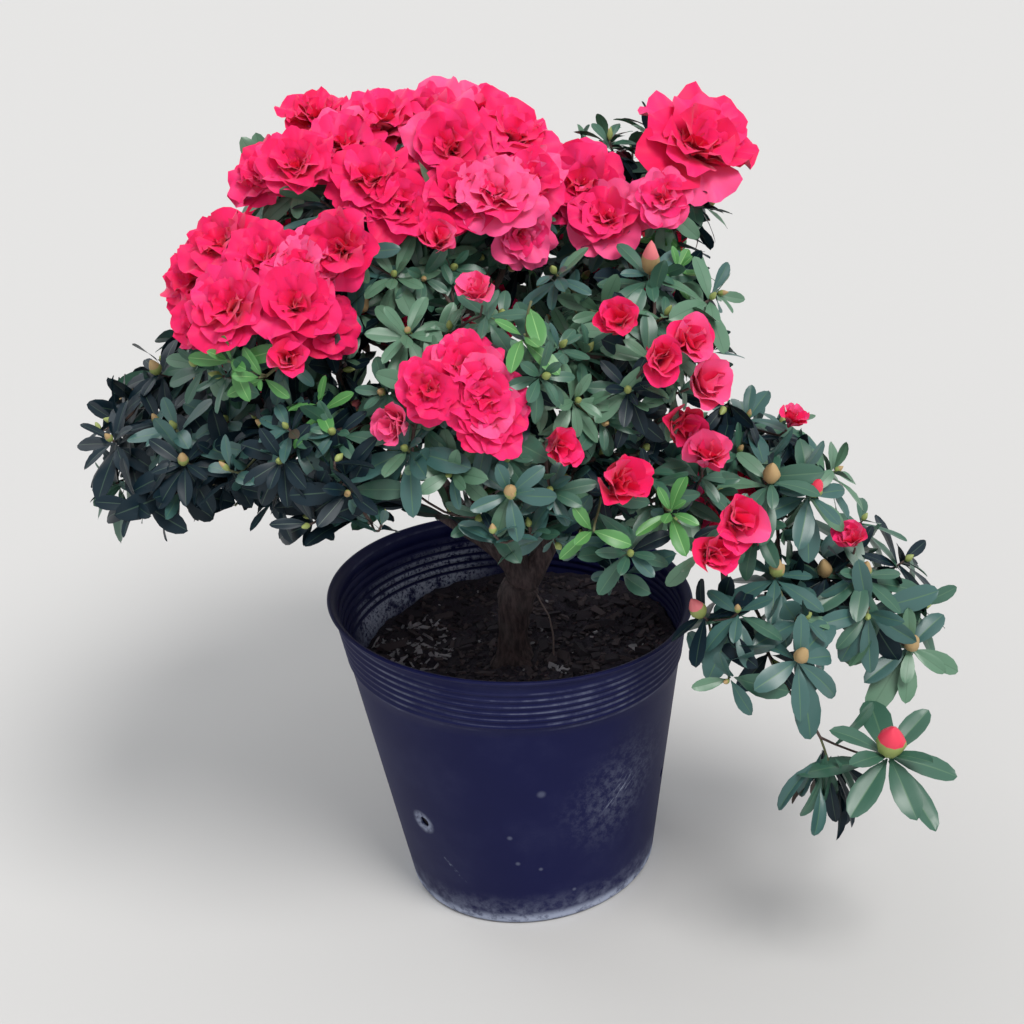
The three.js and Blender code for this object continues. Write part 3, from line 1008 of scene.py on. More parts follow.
def bark_relief(path, radii, sides, depth, seed):
    """Ridges that run along a limb, knots and a slightly uneven girth."""
    relief = np.ones((len(path), sides))
    for i, (point, radius) in enumerate(zip(path, radii)):
        for j, angle in enumerate(round_angles(sides)):
            place = Vector((math.cos(angle) * radius, math.sin(angle) * radius, point[2] * 0.12 + seed * 9))
            ridge = noise.noise(place * 0.75) * 0.6 + noise.noise(place * 1.9) * 0.4
            swell = noise.noise(Vector((math.cos(angle), math.sin(angle), i * 0.12 + seed * 5)) * 0.9)
            relief[i, j] = 1 + depth * ridge + 0.10 * swell
    return relief


# Each bough's middle line, once it is made
LIMB_PATHS = {}


def make_limbs():
    heap = Heap()
    path = trunk_path()
    height = path[:, 2] - SOIL_Z
    above = np.maximum(height, 0)
    radii = STEM_R + (FLARE_R - STEM_R) * np.exp(-above / FLARE_FALL)
    radii += (FORK_R - STEM_R) * ease(height, 18, 44)
    radii[-4:] *= [0.97, 0.88, 0.7, 0.35]
    lobes = 1 + LOBE_DEPTH * np.cos(3 * round_angles(TRUNK_SIDES) + 0.7) * np.exp(-above / LOBE_FALL)[:, None]
    relief = bark_relief(path, radii, TRUNK_SIDES, TRUNK_RELIEF, 1)
    add_tube(heap, path, radii, TRUNK_SIDES, 0, relief * lobes)
    for seed, (name, row) in enumerate(BOUGHS.items()):
        path = bough_path(name)
        share = np.linspace(0, 1, len(path))
        radii = row[3] + (row[4] - row[3]) * share
        radii *= 1 + 0.25 * np.exp(-share * 22)
        waver = np.array([[noise.noise(Vector((s * 7, seed, k * 3.3))) for k in range(3)] for s in share])
        path = path + waver * (2.2 * ease(share, 0.05, 0.4) * (1 - 0.3 * share))[:, None]
        LIMB_PATHS[name] = path
        relief = bark_relief(path, radii, BOUGH_SIDES, BOUGH_RELIEF, seed + 3)
        add_tube(heap, path, radii, BOUGH_SIDES, 0, relief)
    return heap.piece("bark_of_trunk_and_boughs", ["bark"], "bark", ["trunk", *BOUGHS])


# Sprays: where a shoot ends, which way it faces and what it carries


class Spray:
    """size is a bloom's width or a bud's length, and wide a bud's width against that. shade is how light a
    bloom or how red a bud is, and leaf how long the leaves are against the rest."""

    def __init__(self, place, axis, mass, kind, size=1.0, wide=0.55, tint=None, leaf=1.0, shade=0.0):
        self.place = np.asarray(place, float)
        self.axis = unit(axis)
        self.mass, self.kind = mass, kind
        self.size, self.wide, self.leaf, self.shade = size, wide, leaf, shade
        self.droop, self.odds = mass.look[2:]
        self.tint = int(rng.choice(4, p=self.odds)) if tint is None else tint


def lean(out, place, lift, loose):
    """A shoot's direction: out of its mass, lifted to the light, a little astray."""
    away = unit(place * [1, 1, 0] + UP * 1e-6)
    return unit(out + lift * UP + 0.25 * away + rng.normal(0, loose, 3))


def facing_spray(pixel, kind, inset, **looks):
    """A spray where the photograph shows one, on the foliage that carries it, with its foot inset."""
    mass, place, out = seen_place(*pixel)
    lift, facing = STANDS[kind]
    axis = unit(lean(out, place, lift, 0.1) + facing * unit(PHOTO_PLACE - place))
    return Spray(place - axis * inset, axis, mass, kind, **looks)


def sprays_from_photo():
    found = []
    for *pixel, size, shade in OPEN_BLOOMS.values():
        found.append(facing_spray(pixel, "open", rng.uniform(6, 13), size=size, shade=shade))
    for *pixel, size, shade in HALF_OPEN.values():
        found.append(facing_spray(pixel, "half", 0.4 * size - 2, size=size, leaf=0.75, shade=shade))
    for column, row, red, length, wide, leaf, *tint in BUDS.values():
        looks = {"size": length, "wide": wide / length, "tint": tint[0] if tint else None, "leaf": leaf}
        found.append(facing_spray((column, row), "bud", length / 2, shade=red, **looks))
    for *pixel, leaf, tint in WHORLS.values():
        found.append(facing_spray(pixel, "leafy", 8, leaf=leaf, tint=tint))
    for *pixel, leaf in NEW_LEAVES.values():
        found.append(facing_spray(pixel, "new", 3, leaf=leaf, tint=NEW))
    mass, place, out = seen_place(*WILTED)
    found.append(Spray(place - out * 6 - UP * 14, 0.25 * out - UP, mass, "wilted", tint=DARK))
    return found


def covers(place, blooms):
    """Whether leaves at a place would stand before a bloom that the photograph shows."""
    away = np.linalg.norm(place - PHOTO_PLACE)
    for bloom in blooms:
        way = bloom.place - PHOTO_PLACE
        length = np.linalg.norm(way)
        aside = np.linalg.norm(np.cross(place - PHOTO_PLACE, way / length))
        if away < length + 4 and aside < bloom.size / 2 + LEAF_CLEAR:
            return True
    return False


def far_from(place, others, gap):
    return not others or np.min(np.linalg.norm(np.array(others) - place, axis=1)) > gap


def sprays_over_masses(taken):
    """Leafy sprays over every mass, spaced as the eye sees them, and blooms on the hidden sides."""
    found, places = [], [s.place for s in taken]
    blooms = [s for s in taken if s.kind in ("open", "half", "bud")]
    for mass in masses:
        wide, leaf, _, _ = mass.look
        for point, out in mass.scatter(TRIES):
            if out[2] < -0.5 or buried(point, out):
                continue
            place = point - out * (rng.uniform(7, 13) + 12 * ease(-out[2], 0, 0.5))
            gap = SPRAY_SPACING * wide * rng.uniform(0.85, 1.2)
            if far_from(place, places, gap) and not covers(place, blooms):
                places.append(place)
                found.append(dressed_spray(place, point, out, mass, rng.uniform(*leaf)))
    return found


def dressed_spray(place, point, out, mass, leaf):
    """A spray that carries what shoots at that place carry."""
    axis = lean(out, place, 0.42, 0.12)
    kind = kind_of_shoot(place, point, out)
    size = rng.uniform(*SHOOT_SIZES.get(kind, (1, 1)))
    tint = NEW if kind == "new" else None
    shade = rng.uniform(*SHOOT_SHADES.get(kind, (0, 1)))
    return Spray(place, axis, mass, kind, size, rng.uniform(0.48, 0.6), tint, leaf, shade)


def hidden(place):
    """Whether foliage covers a whole bloom at a place from the photograph's camera."""
    for side in (0, 1, -1):
        for rise in (0, 1, -1):
            probe = place + BLOOM_REACH * (side * RIGHT + rise * HIGH)
            way = Vector(unit(PHOTO_PLACE - probe))
            start = Vector(probe) + way * BLOOM_REACH
            if not any(m.tree.ray_cast(start, way)[0] for m in masses):
                return False
    return True


def kind_of_shoot(place, point, out):
    """Blooms stand in groups high on the sides that the photograph hides. The seen side has its own."""
    draw = rng.random()
    if not hidden(place):
        return "leafy"
    bloom = noise.noise(Vector(point) / GROUP_SIZE) + 0.65 * ease(point[2] + 50 * out[2], *BLOOM_HEIGHTS)
    if bloom > OPEN_FROM:
        return "open"
    if bloom > HALF_FROM and draw < 0.5:
        return "half"
    for kind, odds in HIDDEN_ODDS.items():
        if draw < odds:
            return kind
        draw -= odds
    return "leafy"


def sprays_inside(taken):
    """Leaves deeper in, which close the view through the head. Their dark tint is painted shade."""
    found, places = [], [s.place for s in taken]
    for mass in masses:
        for point in rng.uniform(mass.low, mass.high, (INNER_TRIES, 3)):
            if not mass.holds(point):
                continue
            depth = mass.tree.find_nearest(Vector(point))[3]
            if depth > INNER_DEPTH and far_from(point, places, INNER_SPACING * mass.look[0]):
                places.append(point)
                axis = lean(unit(point - [0, 0, 240]), point, 0.3, 0.4)
                found.append(Spray(point, axis, mass, "inner", tint=DARK, leaf=0.9))
    return found


# Twigs: every spray is reached from the limbs, the nearest first


class Twigs:
    """A tree of points that starts on the boughs and is grown to each spray in turn."""

    def __init__(self):
        self.places, self.parents, self.headings, self.loads, self.open = [], [], [], [], []
        for path in LIMB_PATHS.values():
            for i in range(int(len(path) * 0.45), len(path), 3):
                self.note(path[i], -1, unit(path[i] - path[i - 2]))
        self.roots = len(self.places)

    def note(self, place, parent, heading, is_open=True):
        self.places.append(place)
        self.parents.append(parent)
        self.headings.append(heading)
        self.loads.append(0)
        self.open.append(is_open)
        return len(self.places) - 1

    def grow_to(self, spray):
        """Starts where the way is short and turns little, and runs as a smooth curve."""
        places, headings = np.array(self.places), np.array(self.headings)
        way = spray.place - places
        length = np.linalg.norm(way, axis=1)
        turn = 1 - np.sum(unit(way) * headings, 1)
        cost = length * (1 + TURN_COST * turn)
        cost = cost + BARRED * (length < TWIG_LEAST) + BARRED * ~np.array(self.open)
        start = int(np.argmin(cost))
        a, b, span = places[start], spray.place, length[start]
        leave = unit(headings[start] * 0.7 + unit(way[start]) * 0.8 + UP * 0.12) * span
        arrive = spray.axis * span
        steps = max(3, int(span / 6))
        t = np.linspace(0, 1, steps + 1)[1:, None]
        path = (2 * t**3 - 3 * t**2 + 1) * a + (t**3 - 2 * t**2 + t) * leave
        path = path + (3 * t**2 - 2 * t**3) * b + (t**3 - t**2) * arrive
        path[:-1] += rng.normal(0, 0.5, (steps - 1, 3))
        before, last = start, a
        for i, point in enumerate(path):
            before = self.note(point, before, unit(point - last), i < steps - 1)
            last = point
        spray.tip = before
        spray.stem = np.concatenate([[a], path])
        while before >= 0:
            self.loads[before] += 1
            before = self.parents[before]

    def radius(self, node):
        return min(TWIG_R * max(self.loads[node], 1) ** TWIG_GAIN, TWIG_R_MOST)


def make_twigs(sprays):
    """Each twig is a tube from where it leaves its parent to its spray."""
    twigs = Twigs()
    for spray in sorted(sprays, key=lambda s: np.linalg.norm(s.place - (FORK + UP * 40))):
        twigs.grow_to(spray)
    heap = Heap()
    children = {}
    for spray in sprays:
        chain, node = [], spray.tip
        while node >= twigs.roots:
            chain.append(node)
            node = twigs.parents[node]
            if children.setdefault(node, chain[-1]) != chain[-1]:
                break
        chain = [node, *chain[::-1]]
        points = np.array([twigs.places[n] for n in chain])
        radii = np.array([twigs.radius(n) for n in chain])
        radii[0] = radii[1]
        young = spray.kind == "new" or rng.random() < 0.25
        add_tube(heap, points, radii, 5, 1 if young and len(chain) < 9 else 0)
    return heap.piece("twigs", ["twig_brown", "twig_green"], "bark")


# Leaves


def leaf_profile(t):
    """Half width of an azalea leaf along its length: a short stalk, widest past the middle, a blunt tip."""
    blade = np.clip((t - 0.04) / 0.96, 0, 1)
    oval = np.sin(math.pi * blade) ** 0.8
    spoon = 1.6 * blade**0.8 * np.clip(1 - blade**3.5, 0, 1) ** 0.55
    return np.maximum(0.45 * oval + 0.55 * spoon, 0.05 * (1 - t))


class Leaves(Batch):
    """Rows: foot, heading, face, length, width, tint, curl, fold and how far the tip may pass the masses."""

    def piece(self, name, nodes):
        foot, heading, face, length, width, tint, curl, fold, reach = self.columns()
        heading = unit(heading)
        face = square_to(heading, face)
        across = np.cross(face, heading)
        t, v = (net.reshape(-1) for net in np.meshgrid(LEAF_ROWS, LEAF_COLUMNS, indexing="ij"))
        half = width / 2 * leaf_profile(t)
        wave = rng.uniform(0, TURN, (len(foot), 1))
        bend, full = 2 * curl * t, np.maximum(2 * curl, 0.01)
        along = length * np.where(bend > 0.01, np.sin(bend) / full, t)
        side = half * v * (1 - 0.25 * fold)
        lift = half * (fold * np.abs(v) - 0.5 * fold * np.abs(v) ** 3) - length * (1 - np.cos(bend)) / full
        lift += 0.016 * length * np.sin(7 * t + wave + 1.5 * v) * np.abs(v)
        places = foot[:, None] + along[..., None] * heading[:, None]
        places += side[..., None] * across[:, None] + lift[..., None] * face[:, None]
        tips = places[:, -3]
        kept = np.array([not reaches_out(tip, far) for tip, far in zip(tips, reach[:, 0])])
        faces = grid_faces(len(LEAF_ROWS), len(LEAF_COLUMNS))
        rib = np.arange(len(faces)) % (len(LEAF_COLUMNS) - 1) == len(LEAF_COLUMNS) // 2 - 1
        heap = Heap()
        heap.add_copies(places[kept], faces, (tint + len(LEAF_TINTS) * rib)[kept])
        return heap.piece(name, [*LEAF_TINTS, *LEAF_RIBS], "leaf", nodes)


def leaf_tint(spray):
    """Mostly the spray's own tint, now and then another."""
    draw = rng.random()
    if spray.tint == NEW or draw < 0.8:
        return spray.tint
    return OLD if draw > 0.997 else int(rng.choice(4, p=spray.odds))


def leafy_spray(leaves, spray):
    """A whorl of leaves round the end of a shoot, the outer ones longest and most open."""
    count, long, inner, outer, start = SPRAY_LEAVES[spray.kind]
    axis, side = spray.axis, any_side(spray.axis)
    first = rng.uniform(0, TURN)
    overhang = LEAF_OVERHANG * max(spray.leaf, 1) ** 4
    for i in range(count):
        share = i / (count - 1)
        out = turn_about(side, axis, first + i * GOLDEN + rng.normal(0, 0.12))
        spread = math.radians(outer + (inner - outer) * share**1.3 + rng.normal(0, 6))
        heading = axis * math.cos(spread) + out * math.sin(spread) - UP * spray.droop
        length = LEAF_LENGTH * long * spray.leaf * (1 - 0.45 * share**1.6) * rng.uniform(0.84, 1.1)
        foot = spray.place - axis * (start + 7 * (1 - share)) + out * 0.8
        face = axis + rng.normal(0, 0.16, 3) + UP * 0.15
        width = length * LEAF_ASPECT * rng.uniform(0.88, 1.15)
        curl, fold = rng.uniform(0.05, 0.35), rng.uniform(0.1, 0.5)
        leaves.add(foot, unit(heading), face, length, width, leaf_tint(spray), curl, fold, overhang)


def stem_leaves(leaves, spray):
    """Single leaves down the last stretch of a shoot."""
    stem = spray.stem[::-1]
    back = np.cumsum(np.linalg.norm(np.diff(stem, axis=0), axis=1))
    for i in range(STEM_LEAVES.get(spray.kind, 3)):
        reach = 11 + i * 7 + rng.uniform(-2, 2)
        if reach > min(back[-1] - 4, 40):
            return
        k = int(np.searchsorted(back, reach))
        foot = stem[min(k + 1, len(stem) - 1)]
        heading = unit(stem[k] - foot)
        out = unit(turn_about(any_side(heading), heading, rng.uniform(0, TURN)) + UP * 0.1)
        tint = spray.tint if spray.tint < NEW else MID
        length = LEAF_LENGTH * spray.leaf * rng.uniform(0.65, 0.95)
        width, curl = length * LEAF_ASPECT * 1.02, rng.uniform(0.05, 0.2)
        way, face = unit(out + heading * 0.45 - UP * 0.1), heading + UP * 0.5
        leaves.add(foot, way, face, length, width, tint, curl, 0.3, LEAF_OVERHANG)


def wilted_leaves(leaves, spray):
    """Limp leaves, curled in on themselves and hanging."""
    for i in range(WILTED_COUNT):
        out = turn_about(any_side(spray.axis), spray.axis, i * GOLDEN)
        heading = unit(-UP + out * rng.uniform(0.05, 0.75) + rng.normal(0, 0.16, 3))
        length = rng.uniform(*WILTED_LENGTH)
        foot = spray.place + out * rng.uniform(1, 9) + UP * rng.uniform(-7, 12)
        face, curl = out + rng.normal(0, 0.5, 3), rng.uniform(0.0, 0.5)
        looks = (WILTED_TINTS[i % len(WILTED_TINTS)], curl, WILTED_FOLD, WILTED_OVERHANG)
        leaves.add(foot, heading, face, length, length * WILTED_ASPECT, *looks)


def make_leaves(sprays):
    """One joined piece of leaves for each mass, in its place."""
    for mass in masses:
        leaves = Leaves()
        for spray in (s for s in sprays if s.mass is mass):
            if spray.kind == "wilted":
                wilted_leaves(leaves, spray)
            else:
                leafy_spray(leaves, spray)
                stem_leaves(leaves, spray)
        leaves.piece("leaves_" + mass.name.removeprefix("foliage_"), [mass.name])


# Blossom


def petal_net():
    """A rounded petal as rings round its middle: along, across, share of the way out, angle and faces."""
    turn = np.linspace(-1, 1, PETAL_AROUND, endpoint=False)
    around = math.pi * (1 + np.sign(turn) * np.abs(turn) ** 1.2)
    angle = np.r_[0, np.tile(around, len(PETAL_RINGS))]
    ring = np.r_[0, np.repeat(PETAL_RINGS, PETAL_AROUND)]
    along = 0.5 - 0.5 * np.cos(angle)
    across = np.sin(angle) * (0.26 + 0.74 * ease(along, 0, 0.6)) * ring
    along = PETAL_MIDDLE + (along - PETAL_MIDDLE) * ring
    quads = 1 + grid_faces(len(PETAL_RINGS), PETAL_AROUND, closed=True)
    edge = 1 + np.arange(PETAL_AROUND)
    fan = np.stack([0 * edge, edge, np.roll(edge, -1)], -1)
    return along, across, ring, angle, np.concatenate([fan, quads[:, [0, 3, 2]], quads[:, [0, 2, 1]]])


PETAL_NET = petal_net()


def along_petal(slopes, at):
    """Running sums of slopes along each petal, read at shares of its length."""
    pairs = (slopes[:, 1:] + slopes[:, :-1]) / 2
    sums = np.concatenate([np.zeros((len(slopes), 1)), np.cumsum(pairs, axis=1)], axis=1) / PETAL_STEPS
    spot = np.clip(at, 0, 1) * PETAL_STEPS
    low = np.minimum(spot.astype(int), PETAL_STEPS - 1)
    before, after = (np.take_along_axis(sums, low + k, axis=1) for k in (0, 1))
    return before + (after - before) * (spot - low)


class Petals(Batch):
    """Rows: centre, axis, way out, length, width, angles from the axis at foot and tip, ruffle, cup, tint."""

    def piece(self, name):
        centre, axis, out, length, width, closed, opened, ruffle, cup, tint = self.columns()
        along, across, ring, angle, faces = PETAL_NET
        one_each = (len(centre), 1)
        phase, other = (rng.uniform(0, TURN, one_each) for _ in range(2))
        waves = np.sin(rng.uniform(4, 6, one_each) * angle + phase)
        waves += 0.5 * np.sin(rng.uniform(7, 9, one_each) * angle + other)
        swell = 1 + 0.06 * ring * np.sin(3 * angle + phase)
        notch = rng.uniform(0, 0.09, one_each) * ring**4 * np.exp(-((across / 0.16) ** 2))
        notch *= along > PETAL_MIDDLE
        at = PETAL_MIDDLE + (along - PETAL_MIDDLE) * swell - notch
        side = across * swell
        closed, opened = np.radians(closed), np.radians(opened)
        steps = np.linspace(0, 1, PETAL_STEPS + 1)
        tilts, tilt = (closed + (opened - closed) * ease(share, 0.05, 0.95) for share in (steps, at))
        run, climb = (along_petal(f(tilts), at) * length for f in (np.sin, np.cos))
        fold = cup * side**2 - 0.03 * np.exp(-((side / 0.15) ** 2))
        bend = width * (ruffle * ring**2.5 * ease(at, 0.25, 0.75) * waves + fold)
        sideways = width / 2 * side * (1 - 0.3 * cup)
        places = centre[:, None] + (run - bend * np.cos(tilt))[..., None] * out[:, None]
        places += (climb + bend * np.sin(tilt))[..., None] * axis[:, None]
        places += sideways[..., None] * np.cross(axis, out)[:, None]
        # Faces near a petal's foot take the next deeper tint: painted shade in the bloom's throat.
        shaded_throat = along[faces].mean(1) < 0.3
        heap = Heap()
        heap.add_copies(places, faces, np.clip(tint - shaded_throat, 0, len(PETAL_TINTS) - 1))
        return heap.piece(name, PETAL_TINTS, "blossom")


def add_bloom(petals, spray):
    centre = spray.place + spray.axis * BLOOM_LIFT[spray.kind]
    side = turn_about(any_side(spray.axis), spray.axis, rng.uniform(0, TURN))
    for k, (count, length, width, closed, opened, ruffle, cup, lift) in enumerate(WHORLS_OF[spray.kind]):
        for i in range(count):
            axis = unit(spray.axis + rng.normal(0, 0.10, 3))
            out = turn_about(side, spray.axis, TURN * (i + 0.5 * k) / count + rng.normal(0, 0.12))
            size = spray.size * rng.uniform(0.9, 1.08)
            # Inner whorls take deeper tints: painted shade deep in the bloom.
            tint = int(np.clip(round(spray.shade - 0.25 * k + rng.normal(0, 0.5)), 0, 3))
            foot = centre + spray.axis * lift * size
            angles = closed + rng.normal(0, 4), opened + rng.normal(0, 9)
            looks = (length * size, width * size, *angles, ruffle, cup, tint)
            petals.add(foot, axis, square_to(axis, out), *looks)


def make_blossom(sprays):
    """Two joined pieces of petals: the blooms that the photograph shows and those that it hides."""
    for name, part in (("blossom_front", sprays[:PHOTO_BLOOMS]), ("blossom_back", sprays[PHOTO_BLOOMS:])):
        petals = Petals()
        for spray in part:
            if spray.kind in WHORLS_OF:
                add_bloom(petals, spray)
        petals.piece(name)


def add_bud(heap, foot, axis, length, width, looks):
    """A pointed bud: scales in the lower part, the petals' tip above."""
    t = np.linspace(0, 1, BUD_ROWS)
    radii = width / 2 * np.sin(math.pi * t**0.8) ** 0.8 + 0.12
    points = foot + np.outer(t * length, axis)
    spiral = 1 + 0.08 * np.cos(round_angles(BUD_SIDES) * 2 + np.arange(BUD_ROWS)[:, None] * 1.2)
    faces = grid_faces(BUD_ROWS, BUD_SIDES, closed=True)
    lower = np.arange(len(faces)) // BUD_SIDES < BUD_ROWS * BUD_SCALES
    heap.add(tube_rings(points, radii, BUD_SIDES, spiral), faces, np.where(lower, *looks))


def make_buds(sprays):
    heap = Heap()
    for spray in sprays:
        if spray.kind == "bud":
            tip = RED if spray.shade > 0.7 else PINK if spray.shade > 0.35 else TAN
            looks = (TAN if rng.random() < 0.5 else GREEN, tip)
            wide = spray.size * spray.wide
            axis = unit(spray.axis + 0.8 * UP)
            add_bud(heap, spray.place - axis, axis, spray.size, wide, looks)
            if spray.shade < 0.35 and rng.random() < 0.3:
                axis = unit(axis + rng.normal(0, 0.35, 3))
                add_bud(heap, spray.place - axis, axis, spray.size * 0.75, wide * 0.75, looks)
        elif spray.kind == "leafy":
            length, width = (rng.uniform(*limits) for limits in SHOOT_BUD)
            looks = (GREEN, TAN if rng.random() < 0.35 else GREEN)
            add_bud(heap, spray.place, spray.axis, length, width, looks)
    return heap.piece("buds", BUD_TINTS, "blossom")


# Pot and soil


def wall_radius(height):
    return FOOT_R + (height - FOOT_BEVEL) * WALL_SLOPE


def over_rib(top, inset):
    """The wall's points over one rib, or under it with an inset."""
    return [(wall_radius(top + shift) - inset + RIB_DEPTH * deep, top + shift) for shift, deep in RIB_SHAPE]


def pot_profile():
    """Radius and height, from the middle of the underside round to the middle of the floor."""
    profile = [(0, 0.0), (FOOT_R - 9, 0.0), (FOOT_R - 8, 1.2), (FOOT_R - 5.5, 1.2), (FOOT_R - 4.5, 0.0)]
    for angle in np.radians([80, 60, 40, 20, 0]):
        profile.append((FOOT_R - FOOT_BEVEL * (1 - math.cos(angle)), FOOT_BEVEL * (1 - math.sin(angle))))
    profile += [(wall_radius(z), z) for z in (8, 20, 40, 60, 80, 100, 118, 128)]
    ribs = [RIB_TOP - RIB_PITCH * i for i in range(RIB_COUNT)]
    for top in reversed(ribs):
        profile += over_rib(top, 0)
    neck = POT_H - LIP_DEPTH
    profile += [(NECK_R, neck), (NECK_R + 1.6, neck + 1.0), (LIP_R - 0.6, neck + 2.2), (LIP_R, neck + 3.0)]
    profile += [(LIP_R - 0.3, POT_H - 0.4), (LIP_R - 1.2, POT_H), (LIP_R - 2.4, POT_H - 0.4)]
    profile += [(NECK_R - 0.6, neck + 1.6), (wall_radius(neck - 1) - WALL, neck - 1)]
    for top in ribs:
        profile += reversed(over_rib(top, WALL))
    profile += [(wall_radius(z) - WALL, z) for z in (126, 110, 90, 70, 50, 30, 12, FLOOR + 1)]
    return profile + [(wall_radius(FLOOR) - WALL - 2, FLOOR), (0, FLOOR)]


def out_of_true(places):
    """The rim's tilt and shift as in the part, and the small dents of a soft pot."""
    x, y, z = np.asarray(places, float).T.copy()
    bearing = np.arctan2(y, x)
    share = z / POT_H
    give = sum(depth * np.cos(count * bearing + turn) for count, depth, turn in DENTS)
    give = share * give * np.hypot(x, y) / NECK_R
    x, y = x + give * np.cos(bearing), y + give * np.sin(bearing)
    z = z + share * (-x * math.tan(RIM_RISE_LEFT) - y * math.tan(RIM_RISE_FRONT))
    return np.stack([x + RIM_SHIFT * share, y, z], -1)


def turned_body(profile, sides):
    """Places and faces of a closed body turned about Z, from axis to axis."""
    ring = np.array([level_way(angle) for angle in round_angles(sides)])
    rings = [ring * radius + UP * height for radius, height in profile[1:-1]]
    ends = [UP * profile[0][1], UP * profile[-1][1]]
    return np.concatenate([*rings, ends]), capped_faces(len(rings), sides)


def drill(middle, half, radius):
    """A round cutter, half of it on each side of its middle, as an object that is in no scene yet."""
    heap = Heap()
    add_tube(heap, np.array([middle - half, middle, middle + half]), [radius] * 3, DRILL_SIDES, 0)
    return bpy.data.objects.new("drill", heap.mesh("drill", out_of_true))


def drain_drills():
    for i in range(DRAIN_COUNT):
        out = level_way(DRAIN_FIRST + i * TURN / DRAIN_COUNT)
        yield drill(out * wall_radius(DRAIN_Z) + UP * DRAIN_Z, out * 8, DRAIN_R)
    for i in range(FLOOR_DRAIN_COUNT):
        out = level_way(DRAIN_FIRST + i * TURN / FLOOR_DRAIN_COUNT)
        yield drill(out * FLOOR_DRAIN_REACH, UP * 4, FLOOR_DRAIN_R)


def make_pot():
    places, faces = turned_body(pot_profile(), POT_SIDES)
    heap = Heap()
    heap.add(out_of_true(places), faces, 0)
    pot = heap.piece("nursery_pot", ["pot"], "pot", ["pot"])
    cutters = bpy.data.collections.new("cutters")
    bpy.context.scene.collection.children.link(cutters)
    for cutter in drain_drills():
        cutters.objects.link(cutter)
    cut = pot.modifiers.new("drain_holes", "BOOLEAN")
    cut.operand_type, cut.operation, cut.collection, cut.solver = "COLLECTION", "DIFFERENCE", cutters, "EXACT"
    bpy.context.view_layer.update()
    done = bpy.data.meshes.new_from_object(pot.evaluated_get(bpy.context.evaluated_depsgraph_get()))
    pot.modifiers.clear()
    done.set_sharp_from_angle(angle=SHARP_FROM)
    pot.data = done
    for cutter in list(cutters.objects):
        bpy.data.objects.remove(cutter)
    bpy.data.collections.remove(cutters)


def soil_height(x, y):
    """Height of the soil: clods and crumbs, heaped a little at the stem and low by the wall."""
    at = Vector((x, y, 0))
    rough = sum(noise.noise(at * pitch) * height for pitch, height in SOIL_BUMPS)
    near = math.exp(-((x - TRUNK_FOOT[0]) ** 2 + (y - TRUNK_FOOT[1]) ** 2) / SOIL_HEAP_SPREAD)
    return SOIL_Z - SOIL_SUNK + rough + SOIL_HEAP * near


def inner_wall(bearing, height):
    """The place on the pot's inner wall at a bearing and true height, a hair inside it."""
    level = height
    for _ in range(6):
        x, y, _ = level_way(bearing) * (wall_radius(level) - WALL - SOIL_CLEAR)
        level = height / (1 - (x * math.tan(RIM_RISE_LEFT) + y * math.tan(RIM_RISE_FRONT)) / POT_H)
    return np.array([x + RIM_SHIFT * level / POT_H, y, height])


def make_soil():
    bearings = round_angles(SOIL_SIDES)
    middle = np.array([RIM_SHIFT * SOIL_Z / POT_H, 0, SOIL_Z])
    edge = np.array([inner_wall(bearing, SOIL_Z) for bearing in bearings])
    places = [inner_wall(bearing, SOIL_FOOT) for bearing in bearings]
    for ring in range(SOIL_RINGS):
        row = middle + (edge - middle) * (1 - ring / SOIL_RINGS)
        places += [[x, y, soil_height(x, y)] for x, y, _ in row]
    places += [[0, 0, SOIL_FOOT], [*middle[:2], soil_height(*middle[:2])]]
    heap = Heap()
    heap.add(places, capped_faces(SOIL_RINGS + 1, SOIL_SIDES), 0)
    return heap.piece("potting_soil", ["soil"], "soil", ["soil"])


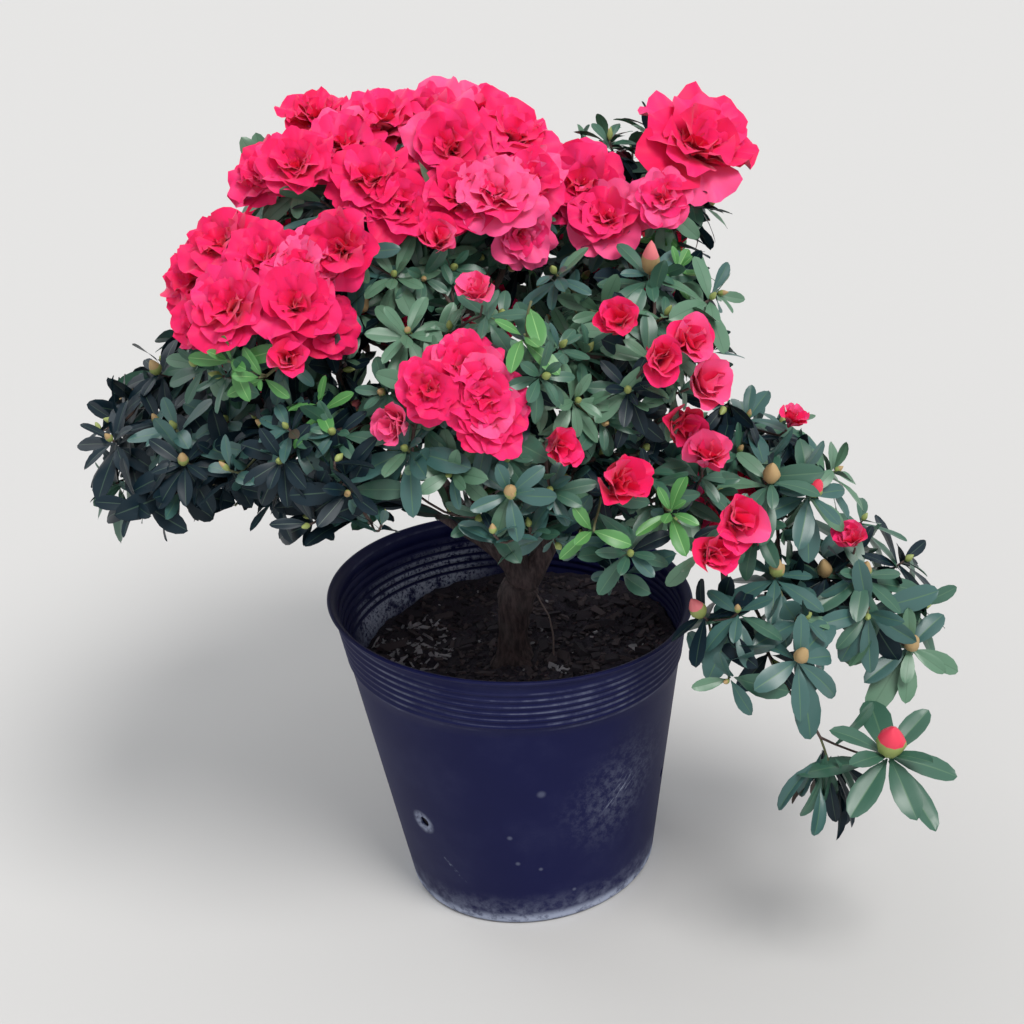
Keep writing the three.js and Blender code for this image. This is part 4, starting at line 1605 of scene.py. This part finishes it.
def make_litter():
    """Chips of bark and pale scraps lying on the soil, most of the scraps at the left."""
    heap = Heap()
    for count, long, wide, thick, look, middle, spread in LITTER:
        for _ in range(count):
            angle, radius = rng.uniform(0, TURN), spread * math.sqrt(rng.random())
            x, y = middle[0] + radius * math.cos(angle), middle[1] + radius * math.sin(angle)
            if math.dist((x, y), LITTER_MIDDLE) > LITTER_R:
                continue
            size = np.array([rng.uniform(*side) for side in (long, wide, thick)]) / 2
            shape = CHIP_CORNERS * size * rng.uniform(0.55, 1.15, (8, 3))
            turn = Matrix.Rotation(rng.uniform(0, TURN), 3, "Z")
            turn = np.array(turn @ Matrix.Rotation(rng.normal(0, CHIP_TILT), 3, "X"))
            place = [x, y, soil_height(x, y) + size[2] * 0.6]
            heap.add(shape @ turn.T + place, CHIP_FACES, look)
    return heap.piece("chips_on_soil", CHIP_TINTS, "soil", smooth=False)


def make_dry_twig():
    """The thin dead twig that leans on the stem at its right."""
    heap = Heap()
    path = smooth_path(DRY_FOOT + np.array(DRY_PLACES), DRY_STEPS)
    add_tube(heap, path, np.linspace(*DRY_RADII, DRY_STEPS), 6, 0)
    return heap.piece("dry_twig", ["twig_dry"], "bark")


# Floor and light


def make_stage():
    mesh = bpy.data.meshes.new("floor")
    far = FLOOR_SIZE / 2
    mesh.from_pydata([(-far, -far, 0), (far, -far, 0), (far, far, 0), (-far, far, 0)], [], [(0, 1, 2, 3)])
    mesh.materials.append(plain("floor_pale", FLOOR_COLOUR, 0.9))
    floor = bpy.data.objects.new("floor", mesh)
    bpy.context.scene.collection.objects.link(floor)
    world = bpy.data.worlds.new("studio")
    world.use_nodes = True
    sky = world.node_tree.nodes["Background"]
    sky.inputs["Color"].default_value = SKY_COLOUR
    sky.inputs["Strength"].default_value = SKY
    bpy.context.scene.world = world
    bpy.context.scene.view_settings.view_transform = "Standard"
    for name, (place, strength, spread, colour) in LIGHTS.items():
        data = bpy.data.lights.new(name, "SUN")
        data.energy, data.angle, data.color = strength, math.radians(spread), colour
        light = bpy.data.objects.new(name, data)
        light.location = place
        light.rotation_euler = (-Vector(place)).to_track_quat("-Z", "Y").to_euler()
        bpy.context.scene.collection.objects.link(light)


def main():
    make_camera()
    make_pot()
    make_soil()
    make_litter()
    make_dry_twig()
    make_limbs()
    sprays = sprays_from_photo()
    sprays += sprays_over_masses(sprays)
    sprays += sprays_inside(sprays)
    make_twigs(sprays)
    make_leaves(sprays)
    make_blossom(sprays)
    make_buds(sprays)
    make_stage()


main()
bpy.context.view_layer.update()
